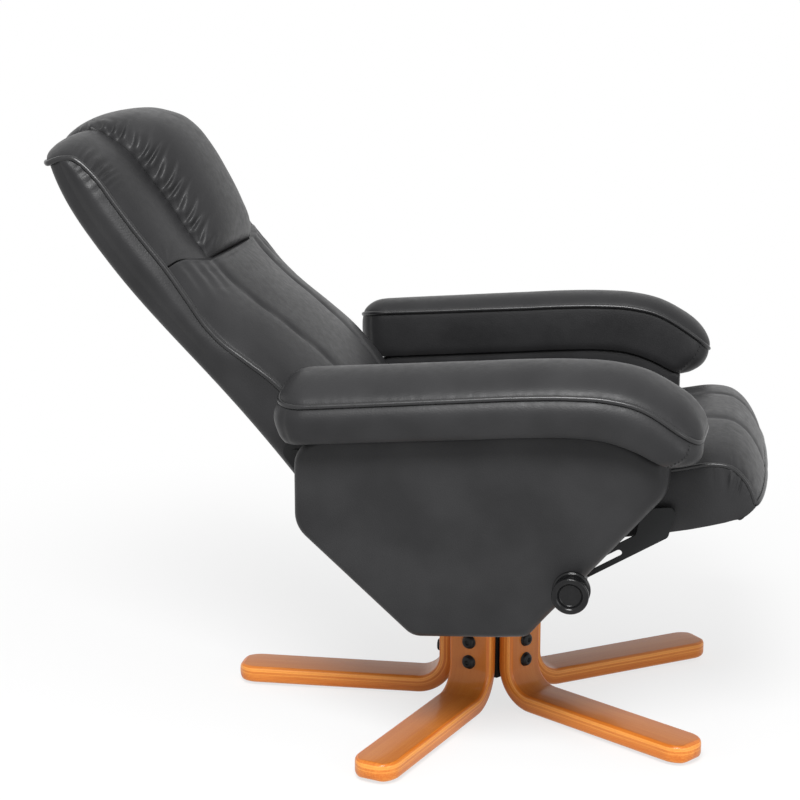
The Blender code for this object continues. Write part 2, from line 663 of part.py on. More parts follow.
panel_shape = panel_outline()
bracket_bolts_at = ((-0.150, 0.372), (-0.090, 0.292), (0.0, 0.285))
bracket_bolt_head = 0.0070
bracket_bolt_shank = 0.0035
bolt_holes = [circle(at, bracket_bolt_shank + RUNNING, 12) for at in bracket_bolts_at]
stud_hole = circle(STUD, STUD_RADIUS + RUNNING, 12)
bracket_shape = rounded([(PIVOT[0] - 0.020, PIVOT[1] + 0.020, 0.018), (PIVOT[0] + 0.026, PIVOT[1] + 0.020, 0.018),
                         (-0.085, 0.322, 0.030), (0.060, 0.312, 0.030), (STUD[0] - 0.006, STUD[1] + 0.019, 0.014),
                         (STUD[0] + 0.020, STUD[1] + 0.006, 0.014), (STUD[0] - 0.004, STUD[1] - 0.019, 0.012),
                         (0.078, 0.2265, 0.012), (-0.070, 0.2215, 0.012), (-0.110, 0.258, 0.020),
                         (PIVOT[0] - 0.020, PIVOT[1] - 0.050, 0.020)])
pad_profile = [(0, pad_in), (0, SIDE_OUT - SIDE_EDGE)]
pad_profile += [(SIDE_EDGE * (1 - math.cos(a)), SIDE_OUT - SIDE_EDGE * (1 - math.sin(a)))
                for a in np.linspace(math.pi / 6, math.pi / 2, 3)]
lining_profile = [(0, board_in - GAP), (0, lining_in + 0.006), (0.0018, lining_in + 0.0018), (0.006, lining_in)]
stud_drill = rod_mesh(STUD_RADIUS + RUNNING, pad_in - 0.02, SIDE_OUT + 0.02, 12)


pivot_pin = turned_mesh([(0, bracket_out), (PIVOT_RADIUS, bracket_out), (PIVOT_RADIUS, BRACKET_IN - GAP),
                         (PIVOT_SHOULDER, BRACKET_IN - GAP), (PIVOT_SHOULDER, hinge_out + GAP),
                         (PIVOT_RADIUS, hinge_out + GAP), (PIVOT_RADIUS, hinge_in), (0, hinge_in)], 16)
bracket_bolt_end = board_in + BOARD_THICK - 0.003
bracket_bolt = turned_mesh([(0, bracket_bolt_end), (bracket_bolt_shank, bracket_bolt_end),
                            (bracket_bolt_shank, BRACKET_IN + GAP), (bracket_bolt_head, BRACKET_IN + GAP),
                            (bracket_bolt_head, BRACKET_IN - 0.0045), (0, BRACKET_IN - 0.0045)], 10)


def padded_mesh(profile, side):
    return loft_mesh([[(x, side * y, z) for x, z in inset_outline(panel_shape, inset)] for inset, y in profile])


for word, side in SIDES.items():
    add_part(f"side_board_{word}", upright_mesh([panel_shape] + bolt_holes + [stud_hole],
                                                side * board_in, side * (board_in + BOARD_THICK)),
             "swivel", "plywood")
    pad = add_part(f"side_pad_{word}", padded_mesh(pad_profile, side), "swivel", "black_faux_leather")
    drill = stud_drill.copy()
    drill.transform(along_y((STUD[0], 0, STUD[1]), side))
    cut(pad, drill, "swivel", f"pad_stud_hole_{word}")
    lining = add_part(f"side_lining_{word}", padded_mesh(lining_profile, side), "swivel", "black_faux_leather")
    bolt_drill = rod_mesh(bracket_bolt_shank + RUNNING, lining_in - 0.02, board_in + 0.004, 12)
    lining_places = [along_y((x, 0, z), side) for x, z in bracket_bolts_at]
    lining_drill = copies_mesh(bolt_drill, lining_places)
    cut(lining, lining_drill, "swivel", f"lining_bolt_holes_{word}")
    lining_stud = rod_mesh(STUD_RADIUS + RUNNING, lining_in - 0.02, board_in + 0.004, 12)
    lining_stud.transform(along_y((STUD[0], 0, STUD[1]), side))
    cut(lining, lining_stud, "swivel", f"lining_stud_hole_{word}")
    bracket = add_part(f"side_bracket_{word}",
                       upright_mesh([bracket_shape, circle(PIVOT, PIVOT_RADIUS + GAP), stud_hole],
                                    side * BRACKET_IN, side * bracket_out), "swivel", "black_steel")
    weld_on(bracket, copies_mesh(bracket_bolt, lining_places), "swivel", f"bracket_bolts_{word}")
    pin = pivot_pin.copy()
    pin.transform(along_y((PIVOT[0], 0, PIVOT[1]), side))
    add_part(f"pivot_pin_{word}", pin, "swivel", "zinc_steel")
    arm_side = sorted((side * (ARM_IN + ARM_BOARD_INSET), side * (ARM_OUT - ARM_BOARD_INSET)))
    add_part(f"arm_board_{word}", upright_mesh([arm_board_outline(0, 0)], *arm_side), "swivel", "plywood")
    arm_pad = add_part(f"arm_pad_{word}", loft_mesh([arm_ring(i, side) for i in range(len(arm_at))]),
                       "swivel", "black_faux_leather")
    pocket = upright_mesh([arm_board_outline(GAP, 0.02)], arm_side[0] - GAP, arm_side[1] + GAP)
    cut(arm_pad, pocket, "swivel", f"arm_board_pocket_{word}")

# Recline clamp: washers, nuts, and the two hand knobs with their studs
washer = turned_mesh([(STUD_RADIUS + RUNNING, BRACKET_IN - GAP), (WASHER_RADIUS, BRACKET_IN - GAP),
                      (WASHER_RADIUS, slide_out + GAP), (STUD_RADIUS + RUNNING, slide_out + GAP)], 16, True)
nut = level_mesh([circle((0, 0), NUT_RADIUS, 6), circle((0, 0), STUD_RADIUS + RUNNING)],
                 slide_in - NUT_HIGH, slide_in - GAP)
for word, side in SIDES.items():
    for name, ring, finish in (("friction_washer", washer, "bearing_plastic"), ("clamp_nut", nut, "zinc_steel")):
        seated = ring.copy()
        seated.transform(along_y((STUD[0], 0, STUD[1]), side))
        add_part(f"{name}_{word}", seated, "swivel", finish)

knob_face = SIDE_OUT + GAP
knob_profile = [(0, KNOB_HEIGHT - KNOB_DISH_DEEP + KNOB_BUTTON_HIGH),
                (KNOB_BUTTON * 0.8, KNOB_HEIGHT - KNOB_DISH_DEEP + KNOB_BUTTON_HIGH * 0.85),
                (KNOB_BUTTON, KNOB_HEIGHT - KNOB_DISH_DEEP), (KNOB_DISH, KNOB_HEIGHT - KNOB_DISH_DEEP * 0.8),
                (KNOB_DISH + 0.004, KNOB_HEIGHT), (KNOB_RADIUS - 0.004, KNOB_HEIGHT),
                (KNOB_RADIUS, KNOB_HEIGHT - 0.004), (KNOB_RADIUS - 0.003, KNOB_SKIRT_HIGH + 0.006),
                (KNOB_RADIUS - 0.002, KNOB_SKIRT_HIGH), (KNOB_SKIRT, KNOB_SKIRT_HIGH - 0.002), (KNOB_SKIRT, 0),
                (STUD_RADIUS + GAP, 0), (STUD_RADIUS + GAP, STUD_IN_KNOB), (0, STUD_IN_KNOB)]
stud_end = knob_face + STUD_IN_KNOB - GAP
stud_start = slide_in - NUT_HIGH - 0.002
for word, side in SIDES.items():
    outwards = along_y((STUD[0], side * knob_face, STUD[1]), side)
    knob = turned_mesh(knob_profile, 20)
    knob.transform(outwards)
    add_part(f"knob_{word}", knob, f"knob_{word}", "black_plastic")
    stud = rod_mesh(STUD_RADIUS, stud_start, stud_end, 12)
    stud.transform(along_y((STUD[0], 0, STUD[1]), side))
    add_part(f"knob_stud_{word}", stud, f"knob_{word}", "zinc_steel")

# Seat: rails, webbing, slide plates, lugs and cushion
rail_in = RAIL_OUT - RAIL_WIDTH
pitch_turn = Matrix.Rotation(-SEAT_PITCH, 4, "Y")
seat_place = Matrix.Translation((SEAT_REF[0], 0, SEAT_REF[1])) @ pitch_turn


def seat_to_chair(x, z):
    place = seat_place @ Vector((x, 0, z))
    return place.x, place.z


rail_mid = -RAIL_HIGH / 2
slide_bolts_at = [seat_to_chair(x, rail_mid) for x in SLIDE_BOLTS_X]
lug_bolts_at = [seat_to_chair(x, rail_mid) for x in (SEAT_FRAME_REAR + 0.025, SEAT_FRAME_REAR + 0.060)]
slide_rear = stud_at - slide_way * SLIDE_TAIL
slide_front = stud_at + slide_way * (SEAT_TRAVEL + SLIDE_NOSE)
slot_end = stud_at + slide_way * SEAT_TRAVEL
slide_shape = rounded([(*(slide_rear - slide_up * SLIDE_HALF), SLIDE_CORNER),
                       (*(slide_front - slide_up * SLIDE_HALF), SLIDE_CORNER * 0.8),
                       (slide_bolts_at[1][0] + SLIDE_HALF, slide_bolts_at[1][1] + SLIDE_HALF * 0.95, SLIDE_CORNER * 0.8),
                       (slide_bolts_at[0][0] - SLIDE_HALF, slide_bolts_at[0][1] + SLIDE_HALF * 0.80, SLIDE_CORNER * 0.8),
                       (*(slot_end + slide_way * SLIDE_WAIST + slide_up * SLIDE_HALF), SLIDE_CORNER * 0.6),
                       (*(slide_rear + slide_up * SLIDE_HALF), SLIDE_CORNER)])
lug_shape = rounded([(link_at[0] - 0.014, link_at[1] - 0.018, 0.012), (link_at[0] + 0.018, link_at[1] - 0.018, 0.012),
                     (lug_bolts_at[1][0] + 0.014, lug_bolts_at[1][1] - 0.013, 0.010),
                     (lug_bolts_at[1][0] + 0.014, lug_bolts_at[1][1] + 0.013, 0.010),
                     (lug_bolts_at[0][0] - 0.010, lug_bolts_at[0][1] + 0.013, 0.010),
                     (link_at[0] - 0.014, link_at[1] + 0.014, 0.012)])
link_slot = stadium(link_at, link_at - slide_up * link_sag, LINK_PIN + SLOT_PLAY)
stud_slot = stadium(stud_at, slot_end, STUD_RADIUS + RUNNING)
lug_out = RAIL_OUT + GAP + STEEL
slide_spacer = turned_mesh([(0, slide_out - GAP), (0.0065, slide_out - GAP), (0.0065, RAIL_OUT + GAP),
                            (SEAT_BOLT, RAIL_OUT + GAP), (SEAT_BOLT, RAIL_OUT - 0.018), (0, RAIL_OUT - 0.018)], 10)
lug_bolt = turned_mesh([(0, lug_out + 0.0035), (0.0065, lug_out + 0.0035), (0.0065, lug_out - GAP),
                        (SEAT_BOLT, lug_out - GAP), (SEAT_BOLT, RAIL_OUT - 0.018), (0, RAIL_OUT - 0.018)], 10)
for word, side in SIDES.items():
    low, high = sorted((side * rail_in, side * RAIL_OUT))
    rail_mesh = box_mesh((SEAT_FRAME_REAR, low, -RAIL_HIGH), (SEAT_FRAME_FRONT, high, 0))
    rail = add_part(f"seat_rail_{word}", rail_mesh, "seat", "plywood", False)
    drill = rod_mesh(SEAT_BOLT + RUNNING, RAIL_OUT - 0.020, RAIL_OUT + 0.010, 12)
    drill_places = [along_y((x, 0, z), side) for x, z in slide_bolts_at + lug_bolts_at]
    cut(rail, copies_mesh(drill, drill_places), "seat", f"rail_bolt_holes_{word}")
    plate = add_part(f"slide_plate_{word}", upright_mesh([slide_shape, stud_slot], side * slide_in, side * slide_out),
                     "seat", "black_steel")
    weld_on(plate, copies_mesh(slide_spacer, [along_y((x, 0, z), side) for x, z in slide_bolts_at]),
            "seat", f"slide_spacers_{word}")
    lug = add_part(f"seat_lug_{word}", upright_mesh([lug_shape, link_slot], side * (RAIL_OUT + GAP), side * lug_out),
                   "seat", "black_steel")
    weld_on(lug, copies_mesh(lug_bolt, [along_y((x, 0, z), side) for x, z in lug_bolts_at]),
            "seat", f"lug_bolts_{word}")
for name, low, high in (("seat_rail_front", SEAT_FRAME_FRONT - RAIL_WIDTH, SEAT_FRAME_FRONT),
                        ("seat_rail_rear", SEAT_FRAME_REAR, SEAT_FRAME_REAR + RAIL_WIDTH)):
    add_part(name, box_mesh((low, GAP - rail_in, -RAIL_HIGH), (high, rail_in - GAP, 0)), "seat", "plywood", False)

# Webbing: crossed straps on the rails, one sheet with square openings
web_half = (RAIL_OUT - WEB_EDGE, (SEAT_FRAME_FRONT - SEAT_FRAME_REAR) / 2 - WEB_EDGE)
web_middle = (SEAT_FRAME_FRONT + SEAT_FRAME_REAR) / 2


def strap_openings(half, count):
    # spans between straps spread evenly over a width
    pitch = (2 * half - WEB_WIDTH) / (count - 1)
    return [(-half + WEB_WIDTH + pitch * i, -half + pitch * (i + 1)) for i in range(count - 1)]


web_outlines = [[(web_middle + sx * web_half[1], sy * web_half[0]) for sx, sy in ((-1, -1), (1, -1), (1, 1), (-1, 1))]]
for x_low, x_high in strap_openings(web_half[1], WEB_COUNT):
    for y_low, y_high in strap_openings(web_half[0], WEB_COUNT):
        web_outlines.append([(web_middle + x, y) for x, y in ((x_low, y_low), (x_high, y_low), (x_high, y_high),
                                                              (x_low, y_high))])
add_part("seat_webbing", level_mesh(web_outlines, GAP, GAP + WEB_THICK), "seat", "elastic_web", False)


def channels(y, deep):
    # depth of the two sewn seams at a place across the width
    return deep * sum(np.exp(-((y - side * CHANNEL_Y) / CHANNEL_WIDE) ** 2) for side in (-1, 1))


def cushion_across(half):
    # places across the width, closer together at the seams
    wide = CHANNEL_WIDE
    lobes = [0, CHANNEL_Y * 0.55, CHANNEL_Y - wide, CHANNEL_Y, CHANNEL_Y + wide, (CHANNEL_Y + half) / 2 + 0.01,
             half * 0.90, half * 0.975]
    return np.array([-y for y in reversed(lobes[1:])] + lobes)


def pillow_ring(across, half, edge, crown, deep, belly=0.006):
    # section of a piped cushion: (across, height) from one lower edge over the crown to the other
    share = np.clip(1 - (across / half) ** 2, 0, 1)
    top = edge + crown * share ** 0.7 - channels(across, deep)
    side = [(half - belly, 0.0), (half, edge * 0.45), (half - belly * 0.3, edge * 0.95)]
    ring = [(-y, h) for y, h in side] + list(zip(across, top)) + [(y, h) for y, h in reversed(side)]
    return ring


def seat_stations():
    # base point, outward direction and section sizes along the seat, over the front edge and down the apron
    deck = GAP + WEB_THICK + GAP
    bend = 0.002
    bend_at = SEAT_FRAME_FRONT + GAP - bend
    stations = []
    for x, size in ((CUSHION_REAR, 0.45), (CUSHION_REAR + 0.008, 0.80), (CUSHION_REAR + 0.028, 0.98),
                    (CUSHION_REAR + 0.09, 1.0), (CUSHION_REAR + 0.19, 1.0), (CUSHION_REAR + 0.30, 1.0),
                    (CUSHION_REAR + 0.38, 1.0), (bend_at - 0.055, 1.0), (bend_at - 0.02, 0.97)):
        stations.append((x, deck, 0.0, CUSHION_EDGE * size, CUSHION_CROWN * size))
    for turn in np.linspace(math.pi / 12, math.pi / 2, 6):
        share = turn / (math.pi / 2)
        stations.append((bend_at + (bend + deck) * math.sin(turn), deck - (bend + deck) * (1 - math.cos(turn)), turn,
                         CUSHION_EDGE + (CUSHION_FRONT - CUSHION_EDGE) * share,
                         CUSHION_CROWN * 0.95 + (CUSHION_FRONT_CROWN - CUSHION_CROWN * 0.95) * share))
    x_end, z_end = stations[-1][:2]
    stations.append((x_end, (z_end - CUSHION_APRON) / 2, math.pi / 2, CUSHION_FRONT * 0.95, CUSHION_FRONT_CROWN))
    stations.append((x_end, -CUSHION_APRON + 0.006, math.pi / 2, CUSHION_FRONT * 0.8, CUSHION_FRONT_CROWN * 0.8))
    stations.append((x_end, -CUSHION_APRON, math.pi / 2, CUSHION_FRONT * 0.5, CUSHION_FRONT_CROWN * 0.5))
    return stations


seat_rings = []
for x, z, turn, edge, crown in seat_stations():
    ring = pillow_ring(cushion_across(SEAT_HALF), SEAT_HALF, edge, crown, CHANNEL_DEEP * min(1, crown / CUSHION_CROWN))
    rear = min(1, max(0, 1 - (x - CUSHION_REAR) / CUSHION_TAPER_LONG))
    share = 1 - CUSHION_TAPER / SEAT_HALF * rear
    seat_rings.append([(x + math.sin(turn) * h, y * share, z + math.cos(turn) * h) for y, h in ring])
add_part("seat_cushion", loft_mesh(seat_rings), "seat", "black_faux_leather", False)


# Back: a gentle S seen from the side, the rear line as a smooth curve up the back
def rear_line(z):
    return BACK_REAR - SHOULDER * np.exp(-((z - SHOULDER_AT) / SHOULDER_LONG) ** 2)


def front_line(z):
    # front of the stiles and the shell: set back above the waist and rounded off at the top
    waist = np.clip((z - WAIST_LOW) / (WAIST_HIGH - WAIST_LOW), 0, 1)
    top = np.clip((z - BACK_TOP + BACK_TOP_LONG) / BACK_TOP_LONG, 0, 1)
    return BACK_FRONT - BACK_WAIST * waist ** 2 * (3 - 2 * waist) - BACK_TOP_ROUND * top ** 2


waist_at = [float(z) for z in np.linspace(WAIST_LOW, WAIST_HIGH, 4)]
top_at = [float(z) for z in np.linspace(BACK_TOP - BACK_TOP_LONG, BACK_TOP, 4)]
back_at = [BACK_FOOT, -0.06, 0.04] + waist_at + [0.31, 0.38, 0.45] + top_at


def shell_row(z):
    # outside of the shell at one height: side band, rounded corner, rear
    rear = float(rear_line(z))
    corner = [(rear + SHELL_ROUND * (1 - math.cos(a)), BACK_HALF - SHELL_ROUND * (1 - math.sin(a)))
              for a in np.linspace(math.pi / 2, 0, 3)]
    return [(float(front_line(z)), BACK_HALF)] + corner


def back_shell_mesh():
    skin = bmesh.new()
    rows = []
    for z in back_at:
        half = shell_row(z)
        whole = [(x, -y) for x, y in half] + [(half[-1][0] - SHELL_CAMBER, 0)] + [(x, y) for x, y in reversed(half)]
        rows.append([skin.verts.new((x, y, z)) for x, y in whole])
    for first, second in zip(rows, rows[1:]):
        for i in range(len(first) - 1):
            skin.faces.new((first[i], first[i + 1], second[i + 1], second[i]))
    bmesh.ops.recalc_face_normals(skin, faces=skin.faces)
    rear_face = min(skin.faces, key=lambda face: face.calc_center_median().x)
    rear_face.normal_update()
    if rear_face.normal.x > 0:
        bmesh.ops.reverse_faces(skin, faces=skin.faces)
    mesh = bpy.data.meshes.new("shell")
    skin.to_mesh(mesh)
    skin.free()
    sheet = bpy.data.objects.new("shell", mesh)
    bpy.context.scene.collection.objects.link(sheet)
    wall = sheet.modifiers.new("board", "SOLIDIFY")
    wall.thickness = SHELL_THICK
    wall.offset = -1
    wall.use_even_offset = True
    return evaluated_mesh(sheet)


hinge_bolt_x = (BACK_REAR + SHELL_ROUND + BACK_FRONT) / 2
hinge_bolts_at = ((hinge_bolt_x, 0.030), (hinge_bolt_x, -0.055), (hinge_bolt_x, -0.110))
HINGE_BOLT = 0.0035
hinge_holes = [circle(at, HINGE_BOLT + RUNNING, 12) for at in hinge_bolts_at]
lean_back = Matrix.Rotation(LEAN, 4, "Y")
link_local = lean_back @ Vector((link_from_pivot[0], 0, link_from_pivot[1]))
link_in_back = (link_local.x, link_local.z)
hinge_shape = rounded([(-0.044, 0.048, 0.012), (-0.016, 0.048, 0.012), (0.018, 0.020, 0.016), (0.018, -0.030, 0.030),
                       (0.004, -0.080, 0.030), (link_in_back[0] + 0.013, link_in_back[1] + 0.012, 0.012),
                       (link_in_back[0] + 0.011, link_in_back[1] - 0.012, 0.011),
                       (link_in_back[0] - 0.014, link_in_back[1] - 0.012, 0.012), (-0.044, -0.128, 0.016)])
hinge_bolt = turned_mesh([(0, hinge_out + 0.0035), (0.0065, hinge_out + 0.0035), (0.0065, hinge_out - GAP),
                          (HINGE_BOLT, hinge_out - GAP), (HINGE_BOLT, RAIL_OUT - STILE_WIDTH + 0.004),
                          (0, RAIL_OUT - STILE_WIDTH + 0.004)], 10)
link_pin = rod_mesh(LINK_PIN, RAIL_OUT - 0.006, hinge_out - GAP, 12)
stile_at = [z for z in back_at if z < STILE_TOP] + [STILE_TOP]
stile_shape = [(float(rear_line(z)) + SHELL_ROUND + RUNNING, z) for z in stile_at]
stile_shape += [(float(front_line(z)), z) for z in reversed(stile_at)]
shell = add_part("back_shell", back_shell_mesh(), "back", "black_faux_leather", False)
for word, side in SIDES.items():
    add_part(f"back_stile_{word}", upright_mesh([stile_shape] + hinge_holes, side * (RAIL_OUT - STILE_WIDTH),
                                                side * RAIL_OUT), "back", "plywood", False)
    shell_drill = rod_mesh(HINGE_BOLT + RUNNING, BACK_HALF - SHELL_THICK - 0.003, BACK_HALF + 0.003, 12)
    shell_places = [along_y((x, 0, z), side) for x, z in hinge_bolts_at]
    cut(shell, copies_mesh(shell_drill, shell_places), "back", f"shell_bolt_holes_{word}", False)
    hinge = add_part(f"hinge_plate_{word}",
                     upright_mesh([hinge_shape, circle((0, 0), PIVOT_RADIUS + RUNNING)],
                                  side * hinge_in, side * hinge_out), "back", "black_steel", False)
    weld_on(hinge, copies_mesh(hinge_bolt, shell_places), "back", f"hinge_bolts_{word}", False)
    link = link_pin.copy()
    link.transform(along_y((link_in_back[0], 0, link_in_back[1]), side))
    weld_on(hinge, link, "back", f"link_pin_{word}", False)
for name, z in BACK_RAILS.items():
    rail_half = RAIL_OUT - STILE_WIDTH - GAP
    front = float(front_line(z))
    add_part(name, box_mesh((front - BACK_RAIL_THICK, -rail_half, z), (front, rail_half, z + BACK_RAIL_HIGH)),
             "back", "plywood", False)


head_top = BACK_TOP + HEAD_OVER
top_rest = BACK_TOP + SHELL_THICK * 0.2 + GAP
rim = top_rest + GAP


def pad_base(z):
    # where a back cushion lies: on the frame, and above its top over the shell's rim
    if z < rim:
        return float(front_line(z)) + GAP
    return float(rear_line(BACK_TOP)) + SHELL_THICK / 2


def pad_rings(stations, half, across):
    # sections up a back cushion: height, edge, crown and seam depth
    rings = []
    for z, edge, crown, seam, *narrow in stations:
        share = narrow[0] / half if narrow else 1
        ring = pillow_ring(across, half, edge, crown, seam, 0.004)
        rings.append([(pad_base(z) + h, y * share, z) for y, h in ring])
    return rings


def faced(z, edge, face, seam=0.0):
    # a station whose middle reaches a given distance ahead of the pivot
    return z, edge, face - pad_base(z) - edge, seam


lumbar_half = BACK_HALF - PAD_INSET
flap_half = BACK_HALF - FLAP_INSET
foot_edge = LUMBAR_EDGE * 2
flap = (FLAP_THICK * 0.7, FLAP_THICK * 0.3, 0.0)


def lumbar_face(z):
    # fullest low down, thinning to its top
    thin = np.clip((z - LUMBAR_FULL) / (LUMBAR_TOP - LUMBAR_FULL), 0, 1)
    return LUMBAR_FACE + (LUMBAR_TOP_FACE - LUMBAR_FACE) * float(thin ** 2 * (3 - 2 * thin))


lumbar_stations = [(FLAP_FOOT, *flap, flap_half), (LUMBAR_FOOT - 0.012, *flap, flap_half),
                   (*faced(LUMBAR_FOOT - 0.002, FLAP_THICK, LUMBAR_FACE * 0.08), (flap_half + lumbar_half) / 2),
                   faced(LUMBAR_FOOT + 0.006, foot_edge * 0.6, LUMBAR_FACE * 0.38, 0.003),
                   faced(LUMBAR_FOOT + 0.030, foot_edge, LUMBAR_FACE * 0.78, 0.008)]
for z in ((LUMBAR_FOOT + WAIST_LOW) / 2, WAIST_LOW):
    lumbar_stations.append(faced(z, foot_edge, lumbar_face(z), 0.008))
for z, share in zip(waist_at[1:], (0.5, 0, 0)):
    lumbar_stations.append(faced(z, LUMBAR_EDGE * (1 + share), lumbar_face(z), 0.008))
lumbar_stations += [faced(LUMBAR_TOP - 0.045, LUMBAR_EDGE, lumbar_face(LUMBAR_TOP - 0.045), 0.006),
                    faced(LUMBAR_TOP - 0.012, LUMBAR_EDGE, LUMBAR_TOP_FACE, 0.004),
                    faced(LUMBAR_TOP - 0.003, LUMBAR_EDGE * 0.9, LUMBAR_TOP_FACE * 0.6, 0.003),
                    faced(LUMBAR_TOP, LUMBAR_EDGE * 0.6, -LUMBAR_TOP_FACE * 0.2)]
lumbar = loft_mesh(pad_rings(lumbar_stations, lumbar_half, cushion_across(lumbar_half)))
add_part("lumbar_cushion", lumbar, "back", "black_faux_leather", False)

head_across = np.linspace(-0.96, 0.96, 13) * HEAD_HALF
head_foot = LUMBAR_TOP + GAP
head_stations = [faced(head_foot, HEAD_EDGE * 0.6, HEAD_FACE * 0.05),
                 faced(head_foot + 0.005, HEAD_EDGE, HEAD_FACE * 0.46),
                 faced(head_foot + 0.016, HEAD_EDGE, HEAD_FACE * 0.70),
                 faced(head_foot + 0.055, HEAD_EDGE, HEAD_FACE * 0.79), faced(head_foot + 0.105, HEAD_EDGE, HEAD_FACE * 0.91),
                 faced(head_foot + 0.150, HEAD_EDGE, HEAD_FACE), faced(top_at[0], HEAD_EDGE, HEAD_FACE * 0.97),
                 faced(top_at[1], HEAD_EDGE * 1.2, HEAD_FACE * 0.89), faced(top_at[2], HEAD_EDGE * 1.4, HEAD_FACE * 0.75),
                 faced(top_rest, HEAD_EDGE * 1.6, HEAD_FACE * 0.55),
                 faced(rim, HEAD_EDGE * 1.6, HEAD_FACE * 0.54),
                 faced(rim + (head_top - rim) * 0.4, HEAD_EDGE * 1.3, HEAD_FACE * 0.28),
                 faced(rim + (head_top - rim) * 0.8, HEAD_EDGE * 0.9, -HEAD_FACE * 0.13),
                 faced(head_top, HEAD_EDGE * 0.4, -HEAD_FACE * 0.42)]
add_part("head_pillow", loft_mesh(pad_rings(head_stations, HEAD_HALF, head_across)), "back", "black_faux_leather", False)

wing_low = HEAD_HALF + 0.002
wing_half = (lumbar_half - wing_low) / 2
wing_middle = (lumbar_half + wing_low) / 2
wing_across = np.linspace(-0.94, 0.94, 9) * wing_half
wing_stations = [(head_foot, WING_EDGE * 0.6, WING_CROWN * 0.3, 0.0),
                 (head_foot + 0.004, WING_EDGE * 0.9, WING_CROWN * 0.8, 0.0)]
wing_stations += [(float(z), WING_EDGE, WING_CROWN, 0.0)
                  for z in np.linspace(head_foot + 0.05, top_at[0], 3)]
wing_stations += [(z, WING_EDGE, WING_CROWN, 0.0) for z in top_at[1:3]]
wing_stations += [(top_rest, WING_EDGE * 0.9, WING_CROWN * 0.8, 0.0),
                  (rim, WING_EDGE * 1.2, WING_CROWN * 0.8, 0.0),
                  (BACK_TOP + WING_OVER * 0.7, WING_EDGE, WING_CROWN * 0.5, 0.0),
                  (BACK_TOP + WING_OVER, WING_EDGE * 0.5, WING_CROWN * 0.2, 0.0)]


def wing_rings():
    # sections up a wing, fuller and higher towards the pillow
    rings = []
    for z, edge, crown, _ in wing_stations:
        over = max(0.0, (z - rim) / (BACK_TOP + WING_OVER - rim))
        ring = []
        for y, h in pillow_ring(wing_across, wing_half, edge, crown, 0.0, 0.004):
            near = (1 - y / wing_half) / 2
            lift = WING_LIFT * near * min(1.0, h / WING_EDGE)
            ring.append((pad_base(z) + h + lift, wing_middle + y, z + WING_RISE * near * over))
        rings.append(ring)
    return rings


for word, side in SIDES.items():
    rings = [[(x, side * y, z) for x, y, z in ring] for ring in wing_rings()]
    add_part(f"head_wing_{word}", loft_mesh(rings), "back", "black_faux_leather", False)
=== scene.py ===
import math

import bmesh
import bpy
import numpy as np
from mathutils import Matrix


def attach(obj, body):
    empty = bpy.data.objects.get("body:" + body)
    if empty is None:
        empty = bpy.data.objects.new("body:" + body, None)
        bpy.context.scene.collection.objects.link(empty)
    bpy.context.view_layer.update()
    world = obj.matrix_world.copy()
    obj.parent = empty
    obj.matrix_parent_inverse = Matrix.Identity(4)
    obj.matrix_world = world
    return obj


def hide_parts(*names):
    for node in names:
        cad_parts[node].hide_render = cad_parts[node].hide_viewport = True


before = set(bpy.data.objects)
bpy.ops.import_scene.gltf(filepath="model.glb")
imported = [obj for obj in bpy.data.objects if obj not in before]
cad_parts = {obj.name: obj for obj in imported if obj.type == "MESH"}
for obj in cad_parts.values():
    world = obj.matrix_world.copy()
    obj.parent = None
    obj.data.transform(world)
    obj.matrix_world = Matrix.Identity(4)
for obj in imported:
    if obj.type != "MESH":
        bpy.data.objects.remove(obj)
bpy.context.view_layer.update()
print("frame loaded with", len(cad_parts), "nodes")

swivelX = 0.1083  # swivel axis in the frame
sides = {"right": -1, "left": 1}


# sRGB hex to linear light
def linear(code):
    value = np.array([int(code[i:i + 2], 16) for i in (1, 3, 5)]) / 255
    return (*np.where(value <= 0.04045, value / 12.92, ((value + 0.055) / 1.055) ** 2.4), 1.0)


# links or sets inputs of a node
def feed(tree, node, inputs):
    for key, value in inputs.items():
        if isinstance(value, bpy.types.NodeSocket):
            tree.links.new(value, node.inputs[key])
        else:
            node.inputs[key].default_value = value


# adds a node with its settings and inputs, and gives its outputs
def addNode(tree, kind, inputs=None, **settings):
    node = tree.nodes.new("ShaderNode" + kind)
    for key, value in settings.items():
        setattr(node, key, value)
    feed(tree, node, inputs or {})
    return node.outputs


def newMaterial(name, **sockets):
    material = bpy.data.materials.new(name)
    material.use_nodes = True
    tree = material.node_tree
    shader = tree.nodes["Principled BSDF"]
    feed(tree, shader, {key.replace("_", " "): value for key, value in sockets.items()})
    return material, tree, shader


# Materials

